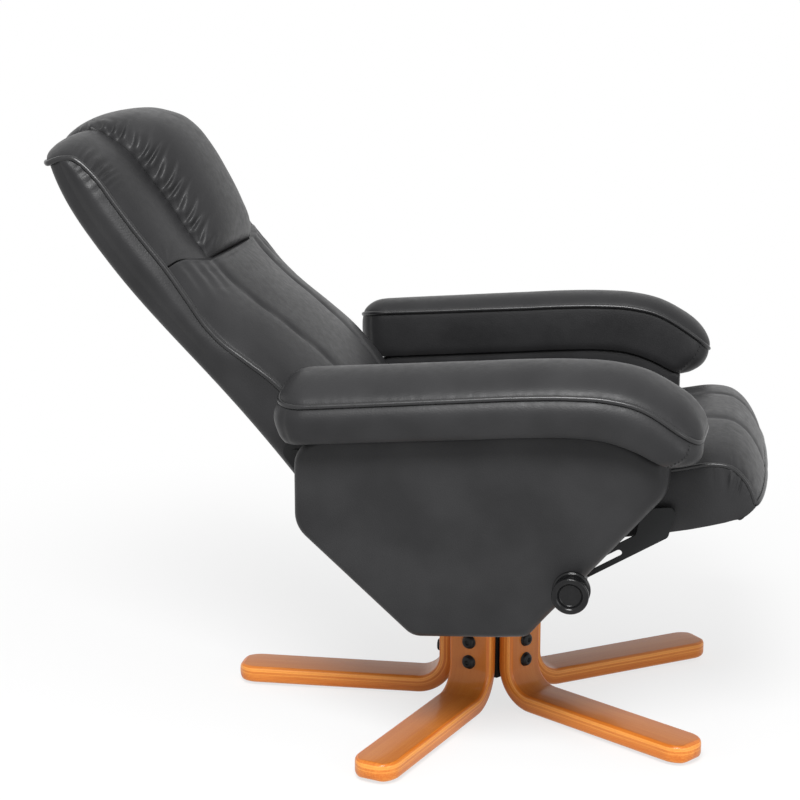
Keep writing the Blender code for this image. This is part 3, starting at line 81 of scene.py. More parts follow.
# PU-coated upholstery fabric, embossed under heat: a fine pebble grain that breaks the highlights up softly.
# The real pebbles are about 0.8 mm, too fine for the picture, so they are drawn at 2.2 mm.
def fauxLeather(name, dark, light, roughness, specular, grainDeep):
    material, tree, shader = newMaterial(name, IOR=1.46, Specular_IOR_Level=specular)
    place = addNode(tree, "TexCoord")["Object"]
    pebble = addNode(tree, "TexVoronoi", {"Vector": place, "Scale": 1 / 0.0022, "Smoothness": 0.6},
                     feature="SMOOTH_F1")["Distance"]
    crease = addNode(tree, "TexNoise", {"Vector": place, "Scale": 1 / 0.011, "Detail": 5.0, "Roughness": 0.6})["Fac"]
    cloud = addNode(tree, "TexNoise", {"Vector": place, "Scale": 1 / 0.09, "Detail": 2.0})["Fac"]
    tone = addNode(tree, "MapRange", {"Value": cloud, "From Min": 0.35, "From Max": 0.65})["Result"]
    colour = addNode(tree, "Mix", {"Factor": tone, "A": linear(dark), "B": linear(light)}, data_type="RGBA")["Result"]
    gloss = addNode(tree, "MapRange", {"Value": crease, "From Min": 0.3, "From Max": 0.7,
                                       "To Min": roughness - 0.06, "To Max": roughness + 0.06})["Result"]
    grain = addNode(tree, "Math", {0: crease, 1: pebble}, operation="ADD")["Value"]
    bump = addNode(tree, "Bump", {"Height": grain, "Strength": grainDeep, "Distance": 0.0006})["Normal"]
    feed(tree, shader, {"Base Color": colour, "Roughness": gloss, "Normal": bump})
    return material


# Beech veneers glued in a bent press and lacquered: even lengthwise grain on the faces, thin ply lines on the edges.
# The grain is worked out in the straight plank's own coordinates, kept on each vertex as along, across and depth.
def bentBeech(name):
    material, tree, shader = newMaterial(name, Roughness=0.42, IOR=1.5, Specular_IOR_Level=0.20, Coat_Weight=0.28,
                                         Coat_Roughness=0.11)
    plank = addNode(tree, "Attribute", attribute_name="plank")["Vector"]
    depth = addNode(tree, "SeparateXYZ", {"Vector": plank})["Z"]
    noises = []
    # fibres, growth figure and flecks: repeats in a metre along and across the plank, detail, distortion
    for along, across, detail, twist in ((14.0, 420.0, 4.0, 0.0), (2.2, 46.0, 3.0, 0.6), (300.0, 1500.0, 1.0, 0.0)):
        drawn = addNode(tree, "Mapping", {"Vector": plank, "Scale": (along, across, across)})["Vector"]
        noises.append(addNode(tree, "TexNoise", {"Vector": drawn, "Scale": 1.0, "Detail": detail,
                                                 "Distortion": twist})["Fac"])
    fibre, figure, fleck = noises
    ply = addNode(tree, "Math", {0: depth, 1: 1 / 0.0027}, operation="MULTIPLY")["Value"]  # 10 plies
    layer = addNode(tree, "Math", {0: ply}, operation="FLOOR")["Value"]
    layerTone = addNode(tree, "TexWhiteNoise", {"W": layer}, noise_dimensions="1D")["Value"]
    within = addNode(tree, "Math", {0: ply, 1: 0.5}, operation="PINGPONG")["Value"]
    glue = addNode(tree, "MapRange", {"Value": within, "From Min": 0.0, "From Max": 0.09, "To Min": 1.0,
                                      "To Max": 0.0})["Result"]
    mixed = addNode(tree, "Math", {0: fibre, 1: figure}, operation="ADD")["Value"]
    shade = addNode(tree, "Math", {0: mixed, 1: layerTone}, operation="ADD")["Value"]
    pale = addNode(tree, "MapRange", {"Value": shade, "From Min": 0.75, "From Max": 1.95})["Result"]
    flecked = addNode(tree, "MapRange", {"Value": fleck, "From Min": 0.60, "From Max": 0.72, "To Max": 0.35})["Result"]
    glued = addNode(tree, "Math", {0: glue, 1: 0.55}, operation="MULTIPLY")["Value"]
    colour = linear("#BB611B")
    for amount, code in ((pale, "#DF9241"), (flecked, "#A9581F"), (glued, "#8F4A14")):
        colour = addNode(tree, "Mix", {"Factor": amount, "A": colour, "B": linear(code)}, data_type="RGBA")["Result"]
    bump = addNode(tree, "Bump", {"Height": fibre, "Strength": 0.10, "Distance": 0.0003})["Normal"]
    feed(tree, shader, {"Base Color": colour, "Normal": bump})
    return material


# Rigid materials differ in colour, gloss and the size of their surface texture, given in millimetres
def fineGrained(name, dark, light, roughness, grainMm, bumpMm, stretch=(1, 1, 1), **sockets):
    material, tree, shader = newMaterial(name, **sockets)
    place = addNode(tree, "TexCoord")["Object"]
    drawn = addNode(tree, "Mapping", {"Vector": place, "Scale": stretch})["Vector"]
    grain = addNode(tree, "TexNoise", {"Vector": drawn, "Scale": 1000 / grainMm, "Detail": 4.0})["Fac"]
    tone = addNode(tree, "MapRange", {"Value": grain, "From Min": 0.3, "From Max": 0.7})["Result"]
    colour = addNode(tree, "Mix", {"Factor": tone, "A": linear(dark), "B": linear(light)}, data_type="RGBA")["Result"]
    gloss = addNode(tree, "MapRange", {"Value": grain, "From Min": 0.3, "From Max": 0.7,
                                       "To Min": roughness * 0.85, "To Max": roughness * 1.15})["Result"]
    bump = addNode(tree, "Bump", {"Height": grain, "Strength": 0.3, "Distance": bumpMm / 1000})["Normal"]
    feed(tree, shader, {"Base Color": colour, "Roughness": gloss, "Normal": bump})
    return material


leather = fauxLeather("black faux leather", "#212122", "#282829", 0.41, 0.22, 0.22)
welting = fauxLeather("faux leather over piping cord", "#1C1C1D", "#222223", 0.30, 0.45, 0.06)
beech = bentBeech("lacquered bent beech")
# powder-coated mild steel: an even orange-peel skin, satin black
coatedSteel = fineGrained("powder-coated steel", "#131415", "#1A1B1C", 0.42, 1.2, 0.05, IOR=1.5,
                          Specular_IOR_Level=0.22)
# zinc-plated turned steel: pale, fine lathe marks
zincSteel = fineGrained("zinc-plated steel", "#A9ACB0", "#C3C6C9", 0.28, 0.6, 0.02, (1, 1, 8), Metallic=1.0)
# glossy injection-moulded phenolic: smooth, deep black
mouldedBlack = fineGrained("moulded black phenolic", "#0C0C0D", "#121213", 0.20, 6.0, 0.03, IOR=1.55,
                           Specular_IOR_Level=0.22)
# acetal bearing plastic: waxy, off-white
acetal = fineGrained("acetal bearing plastic", "#C9C8C0", "#D6D5CE", 0.40, 3.0, 0.02)
# unfinished birch plywood: straight pale grain along the chair
birchPly = fineGrained("birch plywood", "#B79467", "#D3B58B", 0.62, 9.0, 0.20, (0.25, 3, 3))
# black non-woven dust cloth, stapled over the wooden frames: felted fibres, quite matt
dustCloth = fineGrained("black dust cloth", "#161616", "#232323", 0.85, 1.6, 0.20)
# elastic upholstery webbing: woven from dark textured yarn, matt
elasticWeb = fineGrained("elastic webbing", "#2A2A2B", "#4A4A4A", 0.78, 2.2, 0.25)
# bonded polyester thread, black and slightly shiny
thread = fineGrained("bonded polyester thread", "#1A1A1B", "#262627", 0.45, 0.5, 0.03, Specular_IOR_Level=0.25)
print("materials made")


# Mesh building

# quads between neighbouring rows of a grid, wrapped across where each row is a closed loop
def gridFaces(rows, columns, wrap):
    r = np.arange(rows - 1)[:, None] * columns
    c = np.arange(columns if wrap else columns - 1)[None, :]
    n = (c + 1) % columns
    return np.stack((r + c, r + n, r + columns + n, r + columns + c), -1).reshape(-1, 4)


def newPiece(name, points, faces, material, marks=None, closed=True, levels=0):
    mesh = bpy.data.meshes.new(name)
    mesh.from_pydata(points.reshape(-1, 3), [], faces)
    for mark, values in (marks or {}).items():
        kind, key = ("FLOAT_VECTOR", "vector") if values.ndim == 2 else ("FLOAT", "value")
        mesh.attributes.new(mark, kind, "POINT").data.foreach_set(key, values.astype(np.float32).ravel())
    tidy = bmesh.new()
    tidy.from_mesh(mesh)
    bmesh.ops.remove_doubles(tidy, verts=tidy.verts, dist=0.000002)
    if closed:
        bmesh.ops.recalc_face_normals(tidy, faces=tidy.faces)
    tidy.to_mesh(mesh)
    tidy.free()
    mesh.materials.append(material)
    mesh.shade_smooth()
    piece = bpy.data.objects.new(name, mesh)
    bpy.context.scene.collection.objects.link(piece)
    if levels:
        smooth = piece.modifiers.new("smooth", "SUBSURF")
        smooth.levels = levels
        smooth.render_levels = levels
    return piece


# rows of closed loops, both ends drawn to a point
def loftPiece(name, rings, material, marks=None, levels=0):
    ends = [np.broadcast_to(rings[i].mean(0), rings[i].shape) for i in (0, -1)]
    points = np.concatenate((ends[0][None], rings, ends[1][None]))
    if marks:
        marks = {k: np.concatenate((v[:1], v, v[-1:])).reshape(-1, *v.shape[2:]) for k, v in marks.items()}
    return newPiece(name, points, gridFaces(len(points), rings.shape[1], True), material, marks, True, levels)


# an open grid turned so that its faces look away from a point, given a thickness inwards
def sheetPiece(name, grid, material, awayFrom, thickness, levels=0):
    across = grid[:-1, 1:] - grid[:-1, :-1]
    down = grid[1:, :-1] - grid[:-1, :-1]
    looks = np.sum(np.cross(across, down) * (grid[:-1, :-1] - np.array(awayFrom)))
    grid = grid if looks > 0 else grid[:, ::-1]
    piece = newPiece(name, grid, gridFaces(*grid.shape[:2], False), material, None, False, levels)
    wall = piece.modifiers.new("thickness", "SOLIDIFY")
    wall.thickness = thickness
    wall.offset = -1
    piece.modifiers.move(len(piece.modifiers) - 1, 0)
    return piece


# vectors brought to length one
def unit(vectors):
    return vectors / np.linalg.norm(vectors, axis=-1, keepdims=True)


# a circle carried along a path; outward is any direction across the path at each point
def tubeRings(path, outward, radius, count, closed):
    step = unit(np.roll(path, -1, 0) - np.roll(path, 1, 0) if closed else np.gradient(path, axis=0))
    outward = np.broadcast_to(outward, path.shape)
    side = unit(outward - np.sum(outward * step, 1)[:, None] * step)
    over = np.cross(step, side)
    turn = np.linspace(0, 2 * np.pi, count, endpoint=False)[None, :, None]
    return path[:, None] + radius * (np.cos(turn) * side[:, None] + np.sin(turn) * over[:, None])


def pipingPiece(name, path, outward, radius, closed=False, count=10):
    rings = tubeRings(path, outward, radius, count, closed)
    if not closed:
        return loftPiece(name, rings, welting)
    rings = np.concatenate((rings, rings[:1]))
    return newPiece(name, rings, gridFaces(len(rings), count, True), welting)


# a smooth curve through knots: cubic Hermite pieces with central slopes
def through(at, knots, values):
    knots, values = np.asarray(knots, float), np.asarray(values, float)
    slope = np.gradient(values, knots, axis=0)
    i = np.clip(np.searchsorted(knots, at, side="right") - 1, 0, len(knots) - 2)
    gap = knots[i + 1] - knots[i]
    t = np.clip((at - knots[i]) / gap, 0, 1)
    if values.ndim == 2:
        t, gap = t[:, None], gap[:, None]
    return (values[i] * (1 + 2 * t) * (1 - t) ** 2 + slope[i] * gap * t * (1 - t) ** 2
            + values[i + 1] * t ** 2 * (3 - 2 * t) - slope[i + 1] * gap * t ** 2 * (1 - t))


# length along a path at each of its points
def lengthAlong(path):
    return np.concatenate(((0,), np.cumsum(np.linalg.norm(np.diff(path, axis=0), axis=1))))


# evenly spaced points along a path of any spacing
def evenly(path, count, closed=False):
    if closed:
        path = np.concatenate((path, path[:1]))
    length = lengthAlong(path)
    at = np.linspace(0, length[-1], count, endpoint=not closed)
    return np.stack([np.interp(at, length, column) for column in path.T], -1)


# local points (forward, across, up) turned back about Y by an angle and moved to their origin
def placed(points, origin, angle):
    c, s = math.cos(angle), math.sin(angle)
    return np.stack((origin[0] + points[..., 0] * c - points[..., 2] * s, origin[1] + points[..., 1],
                     origin[2] + points[..., 0] * s + points[..., 2] * c), -1)


def onSeat(points):
    return placed(points, (0.150 + swivelX, 0, 0.385), math.radians(8))


def onBack(points):
    return placed(points, (-0.215 + swivelX, 0, 0.440), math.radians(37.4))


# numbers kept on a mesh's vertices, so many for each
def readRows(rows, key, width):
    values = np.empty(len(rows) * width, np.float32)
    rows.foreach_get(key, values)
    return values.reshape(-1, width).astype(float)


def readPoints(piece):
    return readRows(piece.data.vertices, "co", 3)


def readNormals(piece):
    return readRows(piece.data.vertex_normals, "vector", 3)


def readMark(piece, mark):
    return readRows(piece.data.attributes[mark].data, "value", 1)[:, 0]


def writePoints(piece, points):
    piece.data.vertices.foreach_set("co", points.astype(np.float32).ravel())
    piece.data.update()


clothForm = dict(quality=6, mass=0.3, tension_stiffness=14, compression_stiffness=14, shear_stiffness=6,
                 bending_stiffness=0.6, use_pressure=True, vertex_group_mass="sewn", pin_stiffness=1.0)


# Stuffs a cushion: its skin is blown up by cloth pressure, held where it is sewn or rests, each point moving so far
def stuff(piece, pressure, limit, frames=20):
    before = readPoints(piece)
    sewn = np.round(readMark(piece, "sewn") * 8) / 8
    group = piece.vertex_groups.new(name="sewn")
    for level in np.unique(sewn[sewn > 0]):
        group.add(np.flatnonzero(sewn == level).tolist(), float(level), "REPLACE")
    smooth = piece.modifiers["smooth"]
    smooth.show_viewport = False
    cloth = piece.modifiers.new("stuffing", "CLOTH")
    piece.modifiers.move(len(piece.modifiers) - 1, 0)
    for key, value in clothForm.items():
        setattr(cloth.settings, key, value)
    cloth.settings.uniform_pressure_force = pressure
    cloth.settings.effector_weights.gravity = 0
    cloth.point_cache.frame_start = 1
    cloth.point_cache.frame_end = frames
    for step in range(1, frames + 1):
        bpy.context.scene.frame_set(step)
    full = piece.evaluated_get(bpy.context.evaluated_depsgraph_get()).to_mesh()
    move = readRows(full.vertices, "co", 3) - before
    length = np.linalg.norm(move, axis=1)[:, None]
    piece.modifiers.remove(cloth)
    piece.vertex_groups.remove(group)
    smooth.show_viewport = True
    bpy.context.scene.frame_set(1)
    writePoints(piece, before + move * np.minimum(1, limit / np.maximum(length, 1e-9)))
    print("stuffed", piece.name, "most", round(float(length.max()) * 1000, 1), "mm")


# moves each point along its normal by a depth in metres
def press(piece, depth):
    writePoints(piece, readPoints(piece) + readNormals(piece) * depth[:, None])


# the same piece on the chair's other side
def mirrorPiece(piece, name):
    copy = piece.copy()
    copy.data = piece.data.copy()
    copy.name = name
    copy.data.name = name
    bpy.context.scene.collection.objects.link(copy)
    writePoints(copy, readPoints(piece) * np.array((1, -1, 1)))
    copy.data.flip_normals()
    return copy


# short threads laid along a line of places, each a small six-sided spindle
def stitchPiece(name, places, along, outward, length=0.0034, radius=0.00055):
    turn = np.linspace(0, 2 * np.pi, 6, endpoint=False)[:, None, None]
    reach = np.array((-0.5, -0.38, 0.38, 0.5))[:, None, None, None] * length
    girth = np.array((0.25, 1, 1, 0.25))[:, None, None, None] * radius
    ring = np.cos(turn) * np.cross(along, outward) + np.sin(turn) * outward
    points = np.moveaxis(places + reach * along + girth * ring, 2, 0)
    caps = np.array(((0, 1, 2, 3), (0, 3, 4, 5), (18, 19, 20, 21), (18, 21, 22, 23)))
    one = np.concatenate((gridFaces(4, 6, True), caps))
    every = one + np.arange(len(places))[:, None, None] * 24
    return newPiece(name, points, every.reshape(-1, 4), thread)


def bell(distance, width):
    return np.exp(-(distance / width) ** 2)


def easeIn(value):
    value = np.clip(value, 0, 1)
    return value * value * (3 - 2 * value)


# uneven ripples along a line, crowded and spread by a slower wave
def ripples(at, waves, sway, slow):
    return np.sin(at * waves + sway * np.sin(at * slow))


# a sewn seam pulls a wide hollow and a fine groove
def seamGroove(away, wide, fine):
    return 0.5 * bell(away, wide) + 0.5 * bell(away, fine)


# columns across a cushion, closer together towards its edges
def spread(count):
    return np.sin(np.linspace(-1, 1, count) * np.pi / 2 * 0.86) / math.sin(np.pi / 2 * 0.86)


# lines along a cushion from a table of knots: where it lies, its edge and its crest, each (forward, up)
def cushionLines(table, count):
    table = np.array(table)
    at = lengthAlong(table[:, 4:6] + table[:, 2:4])
    along = np.unique(np.round(np.concatenate((np.linspace(0, at[-1], count), at)), 5))
    return along / at[-1], [through(along, at, table[:, k:k + 2]) for k in (0, 2, 4)]


wallCount, floorCount = 5, 8  # columns down each wall and across the floor of a cushion
offFace = 9.0                 # their mark across, far from any seam of the face


# a cushion's skin as rings across it: the face climbs from edge to crest by a share for each column, and the walls
# drop to the base
def cushionRings(lines, half, middle, v, rise, along):
    base, edge, crest = lines
    top = edge[:, None] + (crest - edge)[:, None] * rise[None, :, None]
    down = np.linspace(1, 0, wallCount + 1)[None, 1:, None]
    farWall = base[:, None] + (top[:, -1:] - base[:, None]) * down
    nearWall = base[:, None] + (top[:, :1] - base[:, None]) * down[:, ::-1]
    floor = np.linspace(1, -1, floorCount + 2)[1:-1]
    flat = np.concatenate((top, farWall, base[:, None] * np.ones((1, floorCount, 1)), nearWall), 1)
    inset = half[:, None] - 0.0012
    wall = inset * np.ones(wallCount)
    y = np.concatenate((v * half[:, None], wall, inset * floor, -wall), 1)
    rings = np.stack((flat[..., 0], middle + y, flat[..., 1]), -1)
    sewn = np.ones(rings.shape[:2])
    sewn[2:-2, 2:len(v) - 2] = 0
    across = np.full(rings.shape[:2], offFace)
    across[:, :len(v)] = v * half[:, None]
    return rings, {"sewn": sewn, "across": across, "along": along[:, None] + 0 * sewn}


# Bentwood legs: a rounded plank section carried from the tip along the floor, round the bend and up the hub
legForm = dict(count=5, width=0.070, thick=0.027, reach=0.409, tipRound=0.032, tipEdge=0.0105, edge=0.0068,
               bend=0.0495, uprightAt=0.0633, floorLine=0.0178, top=0.165,
               grainStep=(0.83, 0.21, 0.0))  # from leg to leg, along and across the veneer


def legRings(form):
    half, thick, edge, bend = form["width"] / 2, form["thick"] / 2, form["edge"], form["bend"]
    run = form["reach"] - form["uprightAt"] - bend
    arc = bend * np.pi / 2
    total = run + arc + form["top"] - form["floorLine"] - bend
    ease = 1 - np.cos(np.linspace(0, np.pi / 2, 14))
    along = np.unique(np.round(np.concatenate((
        form["tipRound"] * ease, form["tipEdge"] * ease, np.linspace(form["tipRound"], run, 28),
        run + np.linspace(0, arc, 26), np.linspace(run + arc, total - edge, 10), total - edge * ease)), 5))
    turn = np.clip((along - run) / bend, 0, np.pi / 2)
    x = np.where(along < run, form["reach"] - along, form["uprightAt"] + bend * (1 - np.sin(turn)))
    z = form["floorLine"] + bend * (1 - np.cos(turn)) + np.clip(along - run - arc, 0, None)
    tip = np.clip(form["tipRound"] - along, 0, None)
    plan = half - form["tipRound"] + np.sqrt(form["tipRound"] ** 2 - tip ** 2)
    tipTrim, topTrim = (r - np.sqrt(r ** 2 - np.clip(r - off, 0, r) ** 2)
                        for r, off in ((form["tipEdge"], along), (edge, total - along)))
    wide, deep = plan - topTrim, thick - topTrim - tipTrim
    soft = np.clip(np.minimum(wide, deep) - 0.0003, 0, edge)[:, None]  # corner radius, less at the thin ends
    around = np.concatenate([np.linspace(0, np.pi / 2, 6) + k * np.pi / 2 for k in range(4)])
    signX, signZ = np.repeat((1, -1, -1, 1), 6), np.repeat((1, 1, -1, -1), 6)
    across = signX * (wide[:, None] - soft) + soft * np.cos(around)
    depth = signZ * (deep[:, None] - soft) + soft * np.sin(around)
    turn = turn[:, None]
    rings = np.stack((x[:, None] + np.sin(turn) * depth, across, z[:, None] + np.cos(turn) * depth), -1)
    plank = np.stack((np.broadcast_to(along[:, None], across.shape), across, depth), -1)
    return rings, plank


def turnedZ(points, angle):
    c, s = math.cos(angle), math.sin(angle)
    return np.stack((points[..., 0] * c - points[..., 1] * s + swivelX, points[..., 0] * s + points[..., 1] * c,
                     points[..., 2]), -1)


legTurns = [math.pi + i * 2 * math.pi / legForm["count"] for i in range(legForm["count"])]  # the first points back
legLoop, legPlank = legRings(legForm)
for i, turn in enumerate(legTurns):
    plank = legPlank + i * np.array(legForm["grainStep"])
    leg = loftPiece(f"leg_{i + 1}", turnedZ(legLoop, turn), beech, {"plank": plank})
    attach(leg, "base")
    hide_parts(f"base_leg_{i + 1}")

# Leg bolts: washer, domed head and hexagon socket, as rings of a turned profile whose inner rings are hexagons
boltForm = dict(face=0.0771, heights=(0.0755, 0.1085), socket=0.0036,
                profile=((0.0112, -0.0004), (0.0112, 0.0008), (0.0109, 0.0012), (0.0099, 0.0013), (0.0099, 0.003),
                         (0.0095, 0.0046), (0.0085, 0.0058), (0.007, 0.0066), (0.0052, 0.0069)),
                hexagon=((1.08, 0.0069), (1.0, 0.0066), (1.0, 0.004), (0.5, 0.0039)))


def boltRings(form, count=36):
    turn = np.linspace(0, 2 * np.pi, count, endpoint=False)
    flat = form["socket"] / np.cos((turn + np.pi / 6) % (np.pi / 3) - np.pi / 6)
    turned, hexed = np.array(form["profile"]), np.array(form["hexagon"])
    radius = np.concatenate((turned[:, :1] * np.ones(count), hexed[:, :1] * flat))
    height = np.concatenate((turned[:, 1], hexed[:, 1]))[:, None] * np.ones(count)
    return np.stack((form["face"] + height, radius * np.cos(turn), radius * np.sin(turn)), -1)


boltLoop = boltRings(boltForm)
for i, turn in enumerate(legTurns):
    for j, height in enumerate(boltForm["heights"]):
        head = turnedZ(boltLoop + np.array((0, 0, height)), turn)
        bolt = loftPiece(f"leg_bolt_{i + 1}_{j + 1}", head, coatedSteel)
        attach(bolt, "base")
print("base made")

# Hand knobs: a turned profile with a back flange, a waist, a rolled rim and a flat dish
knobForm = dict(at=(0.153, 0.289), face=0.3403,
                profile=((0.0043, 0.0), (0.0258, 0.0), (0.0266, 0.0006), (0.0267, 0.0044), (0.0262, 0.0058),
                         (0.0243, 0.0068), (0.0234, 0.009), (0.0231, 0.014), (0.0236, 0.02), (0.0247, 0.025),
                         (0.0256, 0.028), (0.026, 0.03), (0.0258, 0.0318), (0.0249, 0.0332), (0.0233, 0.0339),
                         (0.0214, 0.034), (0.0194, 0.0335), (0.0176, 0.0322), (0.0164, 0.0305), (0.0156, 0.029),
                         (0.0146, 0.0281), (0.0132, 0.0278), (0.008, 0.0278), (0.001, 0.0278)))


def knobRings(form, side, count=64):
    profile = np.array(form["profile"])
    at = np.arange(len(profile))
    fine = np.linspace(0, len(profile) - 1, 3 * len(profile) - 2)
    straight = np.stack([np.interp(fine, at, column) for column in profile.T], -1)
    curve = np.where(fine[:, None] < 2, straight, through(fine, at, profile))  # the back stays flat
    turn = np.linspace(0, 2 * np.pi, count, endpoint=False)
    return np.stack((form["at"][0] + swivelX + curve[:, :1] * np.cos(turn),
                     side * (form["face"] + curve[:, 1:] * np.ones(count)),
                     form["at"][1] + curve[:, :1] * np.sin(turn)), -1)


for word, side in sides.items():
    knob = loftPiece(f"hand_knob_{word}", knobRings(knobForm, side), mouldedBlack)
    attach(knob, f"knob_{word}")
    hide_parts(f"knob_{word}")
print("knobs made")

# Armrests: box cushions. The plan is a long loop with rounded ends; a side view of two lines carries it along the arm.
armForm = dict(inner=0.264, outer=0.385, cant=(0.023, 0.0185), crown=0.027, rearRound=0.042, tipRound=0.036,
               bandBulge=0.0085, tipBulge=0.008, tuckedIn=0.004, piping=0.0036, pipingDeep=0.0010,
               seam=0.981, rearSeam=0.028, seamDeep=0.0016, stitchRow=0.972, stitches=9,
               under=((-0.256, 0.4878), (-0.12, 0.4975), (0.0, 0.5056), (0.09, 0.5119), (0.15, 0.514),
                      (0.195, 0.5105), (0.235, 0.4985), (0.262, 0.4855), (0.29, 0.4715)),
               edge=((-0.259, 0.5414), (-0.12, 0.552), (0.0, 0.5615), (0.09, 0.568), (0.15, 0.57), (0.2, 0.568),
                     (0.246, 0.557), (0.284, 0.5345), (0.322, 0.5055)))


def armSurface(form):
    under, edge = np.array(form["under"]), np.array(form["edge"])
    ends = unit(np.diff((under + edge) / 2, axis=0))[[0, -1]]
    at = lengthAlong((under + edge) / 2)
    length, half = at[-1], (form["outer"] - form["inner"]) / 2
    middle = (form["outer"] + form["inner"]) / 2
    rear, tip, tuckedIn = form["rearRound"], form["tipRound"], form["tuckedIn"]
    quarter = np.linspace(0, np.pi / 2, 16)
    loop = np.concatenate((
        np.stack((np.zeros(8), np.linspace(0, half - rear, 8)), -1)[:-1],
        np.stack((rear - rear * np.cos(quarter), half - rear + rear * np.sin(quarter)), -1),
        np.stack((np.linspace(rear, length - tip, 90), np.full(90, half)), -1)[1:-1],
        np.stack((length - tip + tip * np.sin(quarter), half - tip + tip * np.cos(quarter)), -1),
        np.stack((np.full(5, length), np.linspace(half - tip, 0, 5)), -1)[1:]))
    loop = evenly(loop, 150)
    loop = np.concatenate((loop, loop[-2:0:-1] * np.array((1, -1))))  # outer side, then inner side
    spine = np.stack((np.clip(loop[:, 0], half * 0.7, length - half * 0.8), np.zeros(len(loop))), -1)
    step = np.roll(loop, -1, 0) - np.roll(loop, 1, 0)
    outward = unit(np.stack((-step[:, 1], step[:, 0]), -1))
    outward = outward * np.sign(np.sum(outward * (loop - spine), 1))[:, None]
    front = np.clip(outward[:, 0], 0, 1) * (loop[:, 0] > length / 2)  # faces forward, at the tip
    outer = 0.6 + 0.4 * np.clip(2 * loop[:, 1] / half, -1, 1)         # the inner band lies flatter

    def leaning(plan):
        # the inner edge stands higher, most at the rear
        return np.interp(plan[:, 0], (0, length / 2), form["cant"]) * (1 - plan[:, 1] / half) / 2

    def carried(plan, height):
        # plan place and height above the underside, to the chair; past the ends it goes straight on
        inside = np.clip(plan[:, 0], 0, length)
        past = (plan[:, 0] - inside)[:, None] * np.where(plan[:, :1] < length / 2, *ends)
        low, high = through(inside, at, under), through(inside, at, edge)
        tall = np.linalg.norm(high - low, axis=1)
        side = low + past + unit(high - low) * height(tall)[:, None]
        return np.stack((side[:, 0] + swivelX, middle + plan[:, 1], side[:, 1]), -1)

    lean = leaning(loop)
    rows, sewn, band = [], [], []
    for share in (1.0, 0.75, 0.5, 0.3, 0.16, 0.07):  # underside, from the middle out
        inset = loop * (1 - share) + spine * share
        rows.append(carried(inset - outward * tuckedIn, lambda tall: np.full(len(loop), 0.0006)))
        sewn.append(1.0)
        band.append(-1.0)
    for share in (0.0, 0.02, 0.06, 0.14, 0.24, 0.36, 0.48, 0.60, 0.72, 0.82, 0.90, 0.96, 1.0):  # boxing band
        bulge = form["bandBulge"] * outer * math.sin(np.pi * share ** 1.35)
        bulge = bulge + form["tipBulge"] * front * math.sin(np.pi * share) - tuckedIn * (1 - easeIn(share / 0.12))
        rows.append(carried(loop + outward * bulge[:, None], lambda tall: (tall + lean) * share))
        sewn.append(1.0 if share < 0.03 or share == 1.0 else 0.55)
        band.append(share)
    for share in (0.02, 0.05, 0.09, 0.14, 0.20, 0.27, 0.34, 0.42, 0.51, 0.60, 0.70, 0.80, 0.90, 1.0):  # top
        inset = loop * (1 - share) + spine * share
        swell = form["crown"] * (1 - (1 - share) ** 2.4) ** 0.72
        rows.append(carried(inset, lambda tall: tall + leaning(inset) + swell))
        sewn.append(0.7 if share < 0.03 else 0.0)
        band.append(1.0 + share)
    rows = np.array(rows)
    marks = {key: (np.zeros(rows.shape[:2]) + values).ravel() for key, values in (
        ("sewn", np.array(sewn)[:, None]), ("band", np.array(band)[:, None]),
        ("along", loop[:, 0] / length), ("across", loop[:, 1] / half))}
    sunk = 0.0012 - 0.0026 * np.abs(outward[:, :1])  # the cord lies deeper round the ends
    piping = carried(loop + outward * sunk, lambda tall: tall + lean + 0.0004)
    return rows, marks, piping, np.concatenate((outward, np.zeros((len(loop), 1))), 1)


armRows, armMarks, armPiping, armWay = armSurface(armForm)
armPad = newPiece("arm_cushion_left", armRows, gridFaces(*armRows.shape[:2], True), leather, armMarks, True, 1)
stuff(armPad, 3.0, 0.006)
along, band, across = (readMark(armPad, k) for k in ("along", "band", "across"))
onBand = easeIn(band / 0.1) * easeIn((1.0 - band) / 0.1)
grooves = bell(along - armForm["seam"], 0.0035) + bell(along - armForm["rearSeam"], 0.004)
besidePiping = bell(np.abs(band - 1.0), 0.055)
puckers = ripples(along, 190, 3, 41) * bell(band - 1.07, 0.08) * 0.00012
press(armPad, puckers - armForm["seamDeep"] * onBand * grooves - armForm["pipingDeep"] * besidePiping)
armPipe = pipingPiece("arm_piping_left", armPiping, armWay, armForm["piping"], True)
# stitches beside the tip seam, on the skin's own column of points there, on both side bands
points, normals = readPoints(armPad), readNormals(armPad)
onColumn = (band > 0.05) & (band < 0.95)
rows = []
for sign in (1, -1):
    nearest = np.argmin(np.abs(along - armForm["stitchRow"]) + (np.sign(across) != sign))
    apart = np.abs(along - along[nearest]) + np.abs(across - across[nearest])
    column = np.flatnonzero((apart < 1e-5) & onColumn)
    column = column[np.argsort(band[column])]
    rows.append(evenly(np.concatenate((points[column], normals[column] * 0.01), 1), armForm["stitches"]))
places = np.concatenate([row[:, :3] + row[:, 3:] * 0.03 for row in rows])
way = np.concatenate([np.gradient(row[:, :3], axis=0) for row in rows])
armThread = stitchPiece("arm_stitches_left", places, unit(way), np.concatenate([row[:, 3:] * 100 for row in rows]))
leftArm = (armPad, armPipe, armThread)
rightArm = tuple(mirrorPiece(piece, piece.name.replace("left", "right")) for piece in leftArm)
for word, (pad, pipe, stitching) in (("left", leftArm), ("right", rightArm)):
    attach(pad, "frame")
    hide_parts(f"arm_pad_{word}")
    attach(pipe, "frame")
    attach(stitching, "frame")
print("arms made")

